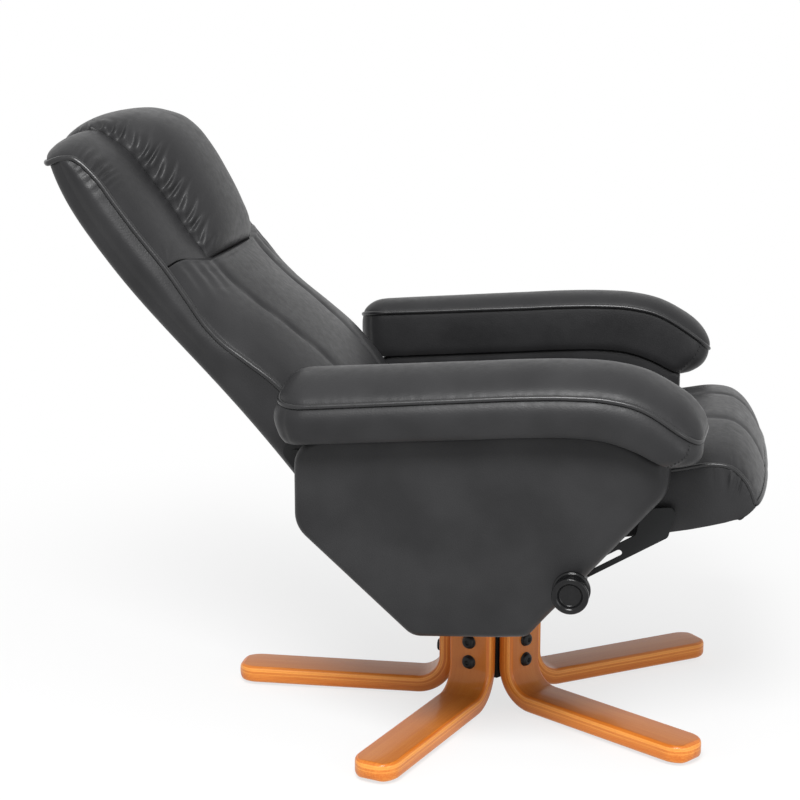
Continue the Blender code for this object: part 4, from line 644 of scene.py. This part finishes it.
# Side panels: leather over a padded board, one outline swept from the inner face round the rim to the outer face
panelForm = dict(rear=-0.2415, front=0.283, inner=0.2763, outer=0.3400, edge=0.013, frontEdge=0.024, crown=0.0016,
                 ear=0.018, middle=(0.020, 0.392), topRound=0.045, swell=0.0006, back=0.006, count=300,
                 corners=((-0.2415, 0.3593, 0.045), (-0.0725, 0.2052, 0.03), (0.0905, 0.212, 0.014)),
                 knee=(0.283, 0.4297, 0.050))


# closed outline through corners (x, z, radius), each corner a tangent arc
def roundedLoop(corners, steps=10):
    outline = []
    for i, (x, z, radius) in enumerate(corners):
        here = np.array((x, z))
        if radius == 0:
            outline.append(here[None])
            continue
        before = unit(np.array(corners[i - 1][:2]) - here)
        after = unit(np.array(corners[(i + 1) % len(corners)][:2]) - here)
        half = math.acos(float(before @ after)) / 2
        centre = here + unit(before + after) * radius / math.sin(half)
        start, end = (here + way * radius / math.tan(half) - centre for way in (before, after))
        share = np.linspace(0, 1, steps)[:, None]
        outline.append(centre + unit(start * (1 - share) + end * share) * radius)
    return np.concatenate(outline)


# each value of a closed loop averaged with its neighbours
def smoothed(values, reach):
    return np.mean([np.roll(values, k) for k in range(-reach, reach + 1)], 0)


def panelRows(form):
    under = np.array(armForm["under"])
    foot, knee = np.array(form["corners"][2][:2]), np.array(form["knee"][:2])
    way = unit(knee - foot)
    stud = np.array(knobForm["at"])
    # the front edge bulges round the stud as an ear
    reach = math.acos(float((stud - foot) @ np.array((-way[1], way[0]))) / form["ear"])
    out = math.atan2(-way[0], way[1])
    ear = [(stud[0] + form["ear"] * math.cos(a), stud[1] + form["ear"] * math.sin(a), 0)
           for a in np.linspace(out - reach, out + reach, 9)]
    topX = np.linspace(form["front"], form["rear"] + 0.05, 40)
    topZ = through(topX, under[:, 0], under[:, 1])
    rearTop = float(through(np.array((form["rear"],)), under[:, 0], under[:, 1])[0])
    corners = [(form["rear"], rearTop, form["topRound"]), *form["corners"], *ear, form["knee"],
               *zip(topX, topZ, np.zeros(40))]
    loop = evenly(roundedLoop(corners), form["count"], True)
    step = np.roll(loop, -2, 0) - np.roll(loop, 2, 0)
    inward = unit(np.stack((-step[:, 1], step[:, 0]), -1))
    middle = np.array(form["middle"])
    inward = inward * np.sign(np.sum(inward * (middle - loop), 1))[:, None]
    ray = unit(middle - loop)
    slant = smoothed(np.clip(np.sum(inward * ray, 1), 0.45, 1), 4)
    front = easeIn((-inward[:, 0] - 0.2) / 0.5)
    soft = smoothed(form["edge"] + (form["frontEdge"] - form["edge"]) * front, 9)

    def moved(inset):
        # the outline moved towards the middle, so far across its own edge
        return loop + ray * (inset / slant)[:, None]

    rows = []
    every = np.ones(form["count"])
    for share in (1.0, 0.8, 0.6, 0.4, 0.2, 0.08):  # inner face, from the middle out
        rows.append((moved(form["back"]) * (1 - share) + middle * share, form["inner"] * every))
    for inset, y in ((form["back"], 0.0), (0.0030, 0.0008), (0.0008, 0.0028), (-form["swell"], 0.0065),
                     (-form["swell"], 0.0200)):
        rows.append((moved(inset), (form["inner"] + y) * every))
    for turn in np.linspace(0, np.pi / 2, 9):  # rounded outer rim
        rows.append((moved(soft * (1 - math.cos(turn)) - form["swell"]), form["outer"] - soft * (1 - math.sin(turn))))
    edge = moved(soft - form["swell"])
    for share in (0.05, 0.12, 0.2, 0.3, 0.4, 0.5, 0.6, 0.7, 0.8, 0.9, 1.0):  # outer face
        face = edge * (1 - share) + middle * share
        near = bell(face[:, 0] - middle[0], 0.15) * bell(face[:, 1] - middle[1], 0.085)
        dents = 0.35 * np.sin(face[:, 0] * 31 + 1.3) * np.sin(face[:, 1] * 27 + 0.4)
        rows.append((face, form["outer"] + form["crown"] * near * (1 + dents)))
    return np.array([np.stack((flat[:, 0] + swivelX, y, flat[:, 1]), -1) for flat, y in rows])


panelGrid = panelRows(panelForm)
panelFaces = gridFaces(*panelGrid.shape[:2], True)
for word, side in sides.items():
    panel = newPiece(f"side_panel_{word}", panelGrid * np.array((1, side, 1)), panelFaces, leather)
    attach(panel, "frame")
    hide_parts(f"side_pad_{word}", f"side_lining_{word}")
print("side panels made")

# Seat cushion: three panels over the front edge, on the seat's frame
seatForm = dict(half=0.2545, rear=-0.262, taper=0.013, taperLong=0.075, seam=0.086, seamDeep=0.0034, piping=0.0033,
                turnUnder=-0.0200,
                # base x, z, edge x, z and crest x, z
                lines=((-0.262, 0.0029, -0.262, 0.018, -0.263, 0.03),
                       (-0.255, 0.0029, -0.256, 0.033, -0.258, 0.056),
                       (-0.23, 0.0029, -0.23, 0.0395, -0.231, 0.069), (-0.16, 0.0029, -0.16, 0.0405, -0.16, 0.0735),
                       (-0.05, 0.0029, -0.05, 0.0405, -0.05, 0.0745), (0.06, 0.0029, 0.06, 0.0405, 0.06, 0.075),
                       (0.15, 0.0029, 0.15, 0.0405, 0.152, 0.0755), (0.2, 0.0029, 0.201, 0.042, 0.205, 0.0755),
                       (0.218, 0.0029, 0.224, 0.035, 0.233, 0.067), (0.2246, 0.0, 0.2375, 0.0205, 0.251, 0.049),
                       (0.2246, -0.007, 0.2455, 0.005, 0.263, 0.024), (0.2246, -0.014, 0.249, -0.008, 0.269, 0.002),
                       (0.2246, -0.021, 0.2508, -0.02, 0.27, -0.014),
                       (0.2246, -0.029, 0.2488, -0.0262, 0.265, -0.0235),
                       (0.2246, -0.035, 0.244, -0.0312, 0.254, -0.031),
                       (0.2246, -0.039, 0.237, -0.0357, 0.241, -0.0365),
                       (0.2246, -0.041, 0.229, -0.0392, 0.23, -0.0396),
                       (0.2246, -0.0412, 0.225, -0.0408, 0.2252, -0.041)))
seatAlong, seatLines = cushionLines(seatForm["lines"], 110)
seatEdge = seatLines[1]
fromRear = seatEdge[:, 0] - seatForm["rear"]
seatHalf = seatForm["half"] - seatForm["taper"] * np.clip(1 - fromRear / seatForm["taperLong"], 0, 1)
v = spread(97)
dip = 1 - 0.03 * bell(np.abs(v) * seatForm["half"] - seatForm["seam"], 0.022)
rings, marks = cushionRings(seatLines, seatHalf, 0, v, (1 - np.abs(v) ** 2.5) ** 0.62 * dip, seatAlong)
seamAway = np.abs(np.abs(marks["across"]) - seatForm["seam"])
marks["sewn"] = np.maximum(marks["sewn"], np.where(seamAway < 0.004, 1, 0))
# the row of the skin where the front turns under, with a welt
weltRow = int(np.argmin(np.abs(seatEdge[:, 1] - seatForm["turnUnder"]) + (seatEdge[:, 0] < 0.2)))
weltPath = rings[weltRow, :len(v)] + np.array((0.0008, 0, -0.0006))
marks["sewn"][weltRow:] = 1
seatPad = loftPiece("seat_cushion_skin", onSeat(rings), leather, marks, 1)
stuff(seatPad, 4.0, 0.022)
across, along = readMark(seatPad, "across"), readMark(seatPad, "along")
seamAway = np.abs(np.abs(across) - seatForm["seam"])
edgeAway = np.abs(seatForm["half"] - np.abs(across))
gather = ripples(along, 420, 2.5, 67) * bell(edgeAway - 0.012, 0.012) * bell(along - 0.82, 0.08) * 0.0009
seamTuck = ripples(along, 300, 2, 53) * bell(seamAway - 0.008, 0.008) * 0.0003
press(seatPad, gather + seamTuck - seatForm["seamDeep"] * seamGroove(seamAway, 0.009, 0.0022))
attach(seatPad, "seat")
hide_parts("seat_cushion")

# Side boxing of the seat: from the piped edge down over the rails, gathered beside the front bend
boxForm = dict(lower=0.2514, thickness=0.0012, gathers=0.0030, puff=0.0055,
               foot=((-0.262, -0.03), (-0.235, -0.045), (-0.1, -0.05), (0.06, -0.0525), (0.107, -0.0525),
                     (0.157, -0.05), (0.185, -0.0473), (0.207, -0.0446), (0.224, -0.0411)),
               # share of the upper edge, and the share of the foot below it
               hang=((0, 0.665, 0.745, 0.815, 0.885, 1.0), (0, 0.827, 0.90, 0.95, 0.98, 1.0)))


def boxingGrid(form, side):
    keep = slice(2, -2)
    upper, half = seatEdge[keep], seatHalf[keep]
    foot = evenly(np.array(form["foot"]), 200)
    share = lengthAlong(upper)
    share = share / share[-1]
    below = np.interp(share, *form["hang"])
    lower = np.stack([np.interp(below, np.linspace(0, 1, 200), column) for column in foot.T], -1)
    t = np.linspace(0, 1, 22)
    flat = lower[:, None] * (1 - t[None, :, None]) + upper[:, None] * t[None, :, None]
    inset = np.clip(1 - fromRear[keep] / 0.12, 0, 1)
    puff = form["puff"] * np.sin(np.pi * t) ** 0.8 * (1 - inset)[:, None]
    y = form["lower"] + (half - form["lower"] + 0.0008)[:, None] * easeIn((t - 0.35) / 0.65) + puff
    fold = ripples(share, 330, 2.2, 71)[:, None] * bell(t - 0.80, 0.17) * bell(share - 0.85, 0.055)[:, None]
    return onSeat(np.stack((flat[..., 0], side * (y + form["gathers"] * fold), flat[..., 1]), -1))


for word, side in sides.items():
    grid = boxingGrid(boxForm, side)
    boxing = sheetPiece(f"seat_boxing_{word}", grid, leather, (swivelX, 0, 0.385), boxForm["thickness"], 1)
    path = np.stack((seatEdge[:, 0], side * (seatHalf + 0.0008), seatEdge[:, 1]), -1)[1:weltRow + 1]
    pipe = pipingPiece(f"seat_piping_{word}", onSeat(path), (0, side, 0), seatForm["piping"])
    for piece in (boxing, pipe):
        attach(piece, "seat")
# welt along the lower front edge, where the skin turns under
welt = pipingPiece("seat_front_welt", onSeat(weltPath), (1, 0, -0.4), seatForm["piping"])
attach(welt, "seat")
print("seat made")

# Back, on its leaning frame: forward n, across y, up s. Its rear, its piped edge and its top arch are smooth curves.
backForm = dict(half=0.255, foot=-0.158, top=0.5745, arch=0.036, wall=0.0040, corner=0.022, camber=0.005,
                bandBulge=0.0105, piping=0.0044, rear=-0.0535, shoulder=0.42, bow=0.033, bowLong=0.25, turnIn=0.57,
                turnInLong=0.1545, front=-0.0110, hollow=(0.017, 0.13, 0.11), roll=(0.022, 0.515, 0.062),
                seamShift=0.022,  # the cross seam climbs this far towards the sides
                # s, n of the piping between side band and cushions
                piped=((-0.158, -0.011), (-0.09, -0.011), (-0.062, -0.0095), (-0.045, 0.001), (-0.025, 0.0105),
                       (0.01, 0.013), (0.06, 0.013), (0.126, 0.011), (0.18, -0.0045), (0.22, -0.0165),
                       (0.256, -0.0208), (0.3, -0.019), (0.354, -0.017), (0.419, -0.019), (0.477, -0.0188),
                       (0.513, -0.018), (0.532, -0.02), (0.549, -0.0235), (0.5629, -0.031), (0.57, -0.043),
                       (0.5745, -0.058)))


# the rear is bowed like a bell up to the shoulders and turns in below the top as a cube
def rearLine(s):
    over = s - backForm["shoulder"]
    turnedIn = 1 - backForm["turnIn"] * np.clip(over / backForm["turnInLong"], 0, 1) ** 3
    return backForm["rear"] - backForm["bow"] * np.where(over < 0, bell(over, backForm["bowLong"]), turnedIn)


# hollow and roll are each a depth, where it starts up the back and how long it takes
def frontLine(s):
    (hollow, hollowAt, hollowLong), (roll, rollAt, rollLong) = backForm["hollow"], backForm["roll"]
    hollowed = backForm["front"] - hollow * easeIn((s - hollowAt) / hollowLong)
    return hollowed - roll * np.clip((s - rollAt) / rollLong, 0, 1) ** 2


def pipedLine(s):
    knots = np.array(backForm["piped"])
    return through(s, knots[:, 0], knots[:, 1])


def topArch(y):
    return backForm["top"] + backForm["arch"] * (1 - np.clip(np.abs(y) / backForm["half"], 0, 1) ** 1.6)


# towards the sides, how far the cross seam has climbed
def seamClimb(y):
    return backForm["seamShift"] * easeIn((np.abs(y) - 0.125) / 0.11)


# rear cover: side band, rounded corner and bowed rear, carried up the back; its top edge follows the arch
def coverGrid(form):
    t = np.unique(np.concatenate((np.linspace(0, 0.84, 60), np.linspace(0.85, 1, 26))))
    s = form["foot"] + t * (form["top"] - form["foot"])
    turn = np.linspace(0, np.pi / 2, 8)
    rear, front = rearLine(s), pipedLine(s)
    band = np.linspace(0, 1, 15)[None, :-1]
    width = np.clip(rear + form["corner"] - front, None, 0)
    bandN = front[:, None] + width[:, None] * band
    full = form["bandBulge"] * easeIn((s - 0.15) / 0.12) * np.clip(-width / 0.045, 0, 1)
    bulge = 0.0004 + full[:, None] * np.sin(np.pi * band) ** 1.2
    puckers = 0.0015 * (ripples(s, 300, 2, 60) * bell(s - 0.535, 0.035))[:, None] * bell(band - 0.16, 0.22)
    cornerN = np.minimum(rear[:, None] + form["corner"] * (1 - np.sin(turn)), front[:, None] - 0.0002)
    cornerY = form["half"] - form["corner"] * (1 - np.cos(turn)) + 0 * cornerN
    across = np.linspace(form["half"] - form["corner"], 0, 30)[1:]
    spanS = form["foot"] + t[:, None] * (topArch(across) - form["foot"])
    spanN = rearLine(spanS) - form["camber"] * (1 - (across / (form["half"] - form["corner"])) ** 2)
    halfN = np.concatenate((bandN, cornerN, spanN), 1)
    halfY = np.concatenate((form["half"] + bulge + puckers, cornerY, across + 0 * spanN), 1)
    halfS = np.concatenate((s[:, None] + 0 * bandN, s[:, None] + 0 * cornerN, spanS), 1)
    n, y, up = (np.concatenate((h, sign * h[:, -2::-1]), 1) for h, sign in ((halfN, 1), (halfY, -1), (halfS, 1)))
    return onBack(np.stack((n, y, up), -1))


backMiddle = tuple(onBack(np.array((0.05, 0, 0.2))))
cover = sheetPiece("back_cover", coverGrid(backForm), leather, backMiddle, backForm["wall"])
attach(cover, "back")
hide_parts("back_shell")

# Lower cushion: full at the loins, three panels whose seams draw together towards the seat, a flap down behind the seat
lumbarForm = dict(half=0.2535, flapIn=0.0310, seamTop=0.130, seamFoot=0.090, seamDeep=0.0050, foot=-0.146, top=0.3339,
                  # s, face
                  faces=((-0.146, -0.0045), (-0.07, -0.0045), (-0.056, 0.0), (-0.044, 0.018), (-0.026, 0.04),
                         (0.0, 0.056), (0.04, 0.063), (0.08, 0.062), (0.12, 0.057), (0.16, 0.049), (0.2, 0.04),
                         (0.24, 0.029), (0.28, 0.02), (0.31, 0.016), (0.325, 0.015), (0.3318, 0.014),
                         (0.3339, 0.011)))
knots = np.array(lumbarForm["faces"])
s = np.concatenate((np.linspace(lumbarForm["foot"], lumbarForm["top"], 100),
                    np.linspace(0.322, lumbarForm["top"], 6), knots[:, 0]))
s = np.unique(np.round(s, 5))
half = lumbarForm["half"] - lumbarForm["flapIn"] * easeIn((-0.030 - s) / 0.03)
edge = np.maximum(pipedLine(s) - 0.0020 * easeIn((s - 0.331) / 0.003), frontLine(s) + 0.0035)
face = through(s, knots[:, 0], knots[:, 1])
v = spread(97)
lines = [np.stack((n, s), -1) for n in (frontLine(s) + 0.0003, edge, face)]
rings, marks = cushionRings(lines, half, 0, v, (1 - np.abs(v) ** 2.6) ** 0.60, s)
rings[..., 2] += seamClimb(rings[..., 1]) * easeIn((s[:, None] - 0.20) / 0.133)


# distance from the nearer of the two long seams
def lumbarSeam(up, across):
    drawn = np.clip((up + 0.05) / 0.385, 0, 1)
    at = lumbarForm["seamFoot"] + (lumbarForm["seamTop"] - lumbarForm["seamFoot"]) * drawn
    return np.abs(np.abs(across) - at)


up = marks["along"]
marks["sewn"] = np.maximum(marks["sewn"], np.where(lumbarSeam(up, marks["across"]) < 0.0045, 0.9, 0))
marks["sewn"] = np.maximum(marks["sewn"], np.where((up < -0.052) | (up > 0.322), 1, 0))
lumbar = loftPiece("lower_back_cushion", onBack(rings), leather, marks, 1)
stuff(lumbar, 4.0, 0.022)
up, across = readMark(lumbar, "along"), readMark(lumbar, "across")
outFrom = np.abs(across)
onFace = easeIn((up + 0.045) / 0.03) * easeIn((0.334 - up) / 0.004)
tuck = np.sin(outFrom * 215 + 1.2 * np.sin(up * 45)) * bell(up - 0.305, 0.026) * 0.0012
tuck = tuck * easeIn((outFrom - 0.135) / 0.02) * easeIn((0.247 - outFrom) / 0.02)
press(lumbar, onFace * (tuck - lumbarForm["seamDeep"] * seamGroove(lumbarSeam(up, across), 0.010, 0.0024)))
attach(lumbar, "back")
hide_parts("lumbar_cushion")
print("lower back made")

# Head pillow: a thick pad that rolls over the top of the back, gathered into short pleats along both long seams
pillowForm = dict(half=0.1295, pleats=18, pleatDeep=0.0058, pleatLong=0.0190, pleatLean=0.70,
                  # base n, s, edge n, s and crest n, s
                  lines=((-0.0277, 0.3342, -0.006, 0.3342, 0.0105, 0.3342),
                         (-0.0277, 0.3352, -0.001, 0.3352, 0.019, 0.3358),
                         (-0.0277, 0.342, 0.003, 0.342, 0.031, 0.343),
                         (-0.0277, 0.356, 0.004, 0.356, 0.0425, 0.356), (-0.0277, 0.39, 0.005, 0.39, 0.055, 0.39),
                         (-0.0277, 0.438, 0.0085, 0.438, 0.065, 0.438),
                         (-0.0277, 0.485, 0.0085, 0.485, 0.071, 0.487),
                         (-0.028, 0.515, 0.0088, 0.5155, 0.07, 0.5205),
                         (-0.031, 0.535, 0.0054, 0.54, 0.062, 0.5475),
                         (-0.039, 0.555, -0.0017, 0.5615, 0.046, 0.5695),
                         (-0.048, 0.572, -0.0105, 0.583, 0.028, 0.5875),
                         (-0.052, 0.576, -0.0233, 0.5945, 0.0045, 0.603),
                         (-0.056, 0.578, -0.0424, 0.6015, -0.021, 0.6145),
                         (-0.059, 0.579, -0.054, 0.6035, -0.044, 0.6185),
                         (-0.063, 0.58, -0.064, 0.6035, -0.061, 0.6165),
                         (-0.0645, 0.581, -0.068, 0.602, -0.068, 0.611)))
along, lines = cushionLines(pillowForm["lines"], 210)
girth = lengthAlong(lines[1])[-1]
v = spread(73)
half = np.full(len(along), pillowForm["half"])
rings, marks = cushionRings(lines, half, 0, v, (1 - np.abs(v) ** 2.6) ** 0.56, along)
pillow = loftPiece("head_pillow_skin", onBack(rings), leather, marks, 1)
stuff(pillow, 4.0, 0.022)
along, across = readMark(pillow, "along"), readMark(pillow, "across")
inFrom = np.clip(pillowForm["half"] - np.abs(across), 0, None)
phase = pillowForm["pleats"] * (along - pillowForm["pleatLean"] * inFrom / girth)
phase = phase + 0.16 * np.sin(along * 37 + np.sign(across))
ridge = np.sin(np.pi * (phase % 1) ** 1.7) - 0.55  # folds steeper on one side
length = pillowForm["pleatLong"] * (0.85 + 0.3 * np.sin(along * 71 + 2))
reach = bell(np.clip(inFrom - 0.005, 0, None), length) * easeIn(inFrom / 0.003)
reach = reach * easeIn((along - 0.05) / 0.05) * easeIn((0.93 - along) / 0.08) * (across < offFace)
press(pillow, pillowForm["pleatDeep"] * ridge * reach)
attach(pillow, "back")
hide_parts("head_pillow")

# Head wings: pads beside the pillow, level with its seam and falling to the piping, rolled over the top of the back
wingForm = dict(inner=0.1302, outer=0.2540, puckers=0.0030,
                # base n, s, outer edge n, s and inner edge n, s
                lines=((-0.0277, 0.3342, -0.02, 0.3342, 0.0, 0.3342),
                       (-0.0277, 0.335, -0.0172, 0.335, 0.003, 0.335),
                       (-0.0277, 0.342, -0.017, 0.342, 0.0045, 0.342), (-0.0277, 0.39, -0.018, 0.39, 0.006, 0.39),
                       (-0.0277, 0.438, -0.019, 0.438, 0.0092, 0.438),
                       (-0.0277, 0.485, -0.0188, 0.485, 0.0092, 0.485),
                       (-0.028, 0.513, -0.018, 0.513, 0.0092, 0.5155), (-0.031, 0.532, -0.02, 0.532, 0.006, 0.54),
                       (-0.038, 0.548, -0.0235, 0.549, -0.001, 0.562),
                       (-0.045, 0.559, -0.031, 0.5629, -0.01, 0.584), (-0.051, 0.567, -0.043, 0.57, -0.023, 0.5955),
                       (-0.056, 0.571, -0.052, 0.5732, -0.042, 0.6022),
                       (-0.059, 0.5725, -0.058, 0.5745, -0.055, 0.604),
                       (-0.0635, 0.573, -0.0645, 0.5745, -0.0665, 0.603)))
along, lines = cushionLines(wingForm["lines"], 110)
v = spread(49)
half = np.full(len(along), (wingForm["outer"] - wingForm["inner"]) / 2)
middle = (wingForm["outer"] + wingForm["inner"]) / 2
rings, marks = cushionRings(lines, half, middle, v, (1 - ((v + 1) / 2) ** 2.2) ** 0.62, along)
rings[..., 2] += seamClimb(rings[..., 1]) * (1 - easeIn((rings[..., 2] - 0.334) / 0.13))
wing = loftPiece("head_wing_skin_left", onBack(rings), leather, marks, 1)
stuff(wing, 3.0, 0.010)
along, across = readMark(wing, "along"), readMark(wing, "across")
outFrom = wingForm["outer"] - middle - across
tuck = np.sin(along * 150 + across * 50 + 2 * np.sin(along * 31)) * bell(outFrom - 0.018, 0.016)
press(wing, wingForm["puckers"] * tuck * bell(along - 0.68, 0.10) * (across < offFace))
for piece, word in ((wing, "left"), (mirrorPiece(wing, "head_wing_skin_right"), "right")):
    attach(piece, "back")
    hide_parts(f"head_wing_{word}")

# piping up the front of the side bands, over their tops and along the arched rear edge
s = np.linspace(-0.055, 0.5629, 120)
y = 0.2543 + 0.0013 * easeIn((s - 0.19) / 0.06)  # clear of the arms low down
upPath = np.stack((pipedLine(s), y, s), -1)
overPath = np.array(((-0.0430, 0.2556, 0.5708), (-0.0530, 0.2552, 0.5745), (-0.0605, 0.2528, 0.5765),
                     (-0.0655, 0.2470, 0.5785), (-0.0685, 0.2380, 0.5815)))
y = np.linspace(0.228, 0, 24)
s = topArch(y)
archPath = np.stack((rearLine(s) - 0.0022 - backForm["camber"] * (1 - (y / 0.241) ** 2), y, s + 0.0012), -1)
halfPath = np.concatenate((upPath, overPath, archPath))
path = evenly(np.concatenate((halfPath, halfPath[-2::-1] * np.array((1, -1, 1)))), 420)
y, s = path[:, 1], path[:, 2]
outward = np.stack((-0.35 * (s > 0.57), np.sign(y) * easeIn((np.abs(y) - 0.15) / 0.1),
                    0.1 + 0.9 * easeIn((s - 0.55) / 0.02)), -1)
backPipe = pipingPiece("back_piping", onBack(path), outward, backForm["piping"])
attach(backPipe, "back")
print("back made")

# CAD pieces that keep their shape take the finer materials
kept = {coatedSteel: ("hub_core", "swivel_spindle", "swivel_plate", "cross_tube", "side_bracket", "slide_plate",
                      "seat_lug", "hinge_plate"),
        zincSteel: ("pivot_pin", "clamp_nut", "knob_stud"),
        acetal: ("spindle_bush", "thrust_bearing", "friction_washer"),
        birchPly: ("side_board",),
        dustCloth: ("arm_board", "seat_rail", "back_stile", "back_rail"),
        elasticWeb: ("seat_webbing",),
        mouldedBlack: ("floor_glide",)}
for material, starts in kept.items():
    for name in (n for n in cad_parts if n.startswith(starts)):
        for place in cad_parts[name].material_slots:
            place.material = material
print("fittings finished")

# Floor: pale studio paper that keeps the chair's shadow and fades to white away from it
floorReach = 14
floorMesh = bpy.data.meshes.new("floor")
floorMesh.from_pydata([(x * floorReach, y * floorReach, -0.0005) for x, y in ((-1, -1), (1, -1), (1, 1), (-1, 1))],
                      [], [(0, 1, 2, 3)])
floor = bpy.data.objects.new("floor", floorMesh)
bpy.context.scene.collection.objects.link(floor)


# one for rays from the camera, or seen in a gloss or through glass
def seenRays(tree):
    rays = addNode(tree, "LightPath")
    seen = rays["Is Camera Ray"]
    for key in ("Is Glossy Ray", "Is Transmission Ray"):
        seen = addNode(tree, "Math", {0: seen, 1: rays[key]}, operation="MAXIMUM")["Value"]
    return seen


paper, tree, shader = newMaterial("white studio paper", Roughness=0.9, Base_Color=linear("#E8E8E8"))
glow = addNode(tree, "Emission", {"Strength": 1.0, "Color": (1, 1, 1, 1)})["Emission"]
place = addNode(tree, "TexCoord")["Object"]
away = addNode(tree, "VectorMath", {0: place}, operation="LENGTH")["Value"]
fade = addNode(tree, "MapRange", {"Value": away, "From Min": 0.5, "From Max": 1.7, "To Min": 0.72, "To Max": 1.0},
               interpolation_type="SMOOTHSTEP")["Result"]
share = addNode(tree, "Math", {0: seenRays(tree), 1: fade}, operation="MULTIPLY")["Value"]
mix = addNode(tree, "MixShader", {"Fac": share, 1: shader.outputs["BSDF"], 2: glow})["Shader"]
feed(tree, tree.nodes["Material Output"], {"Surface": mix})
floorMesh.materials.append(paper)

# Light: a white surround and three large soft lamps
world = bpy.data.worlds.new("studio")
bpy.context.scene.world = world
world.use_nodes = True
tree = world.node_tree
tree.nodes.clear()
level = addNode(tree, "MapRange", {"Value": seenRays(tree), "To Min": 0.62, "To Max": 1.0})["Result"]
sky = addNode(tree, "Background", {"Color": (1, 1, 1, 1), "Strength": level})["Background"]
addNode(tree, "OutputWorld", {"Surface": sky})

# place, size in metres and power in watts of each lamp, all aimed at the middle of the chair
lampForm = dict(key=((0.2, -2.5, 2.8), 1.3, 132), fill=((2.4, -2.0, 0.9), 1.6, 16), top=((0.1, -0.2, 3.0), 2.2, 6))
lampAim = np.array((0.0, 0.0, 0.45))
for name, (place, size, power) in lampForm.items():
    data = bpy.data.lights.new(name, "AREA")
    data.shape = "DISK"
    data.size = size
    data.energy = power
    lamp = bpy.data.objects.new(name, data)
    x, y, z = lampAim - np.array(place)
    lamp.location = place
    lamp.rotation_euler = (math.atan2(math.hypot(x, y), -z), 0, math.atan2(y, x) - math.pi / 2)
    bpy.context.scene.collection.objects.link(lamp)

cameraData = bpy.data.cameras.new("camera")
cameraData.sensor_width = 36
cameraData.lens = 36 * 1887 / 800  # focal length 1887 px in a picture 800 px wide
camera = bpy.data.objects.new("camera", cameraData)
camera.location = (0.3266 + swivelX, -2.8526, 1.1044)
camera.rotation_euler = (math.radians(77.72), 0, math.radians(9.39))
bpy.context.scene.collection.objects.link(camera)
bpy.context.scene.camera = camera
bpy.context.scene.view_settings.view_transform = "Standard"
print("light and camera set")
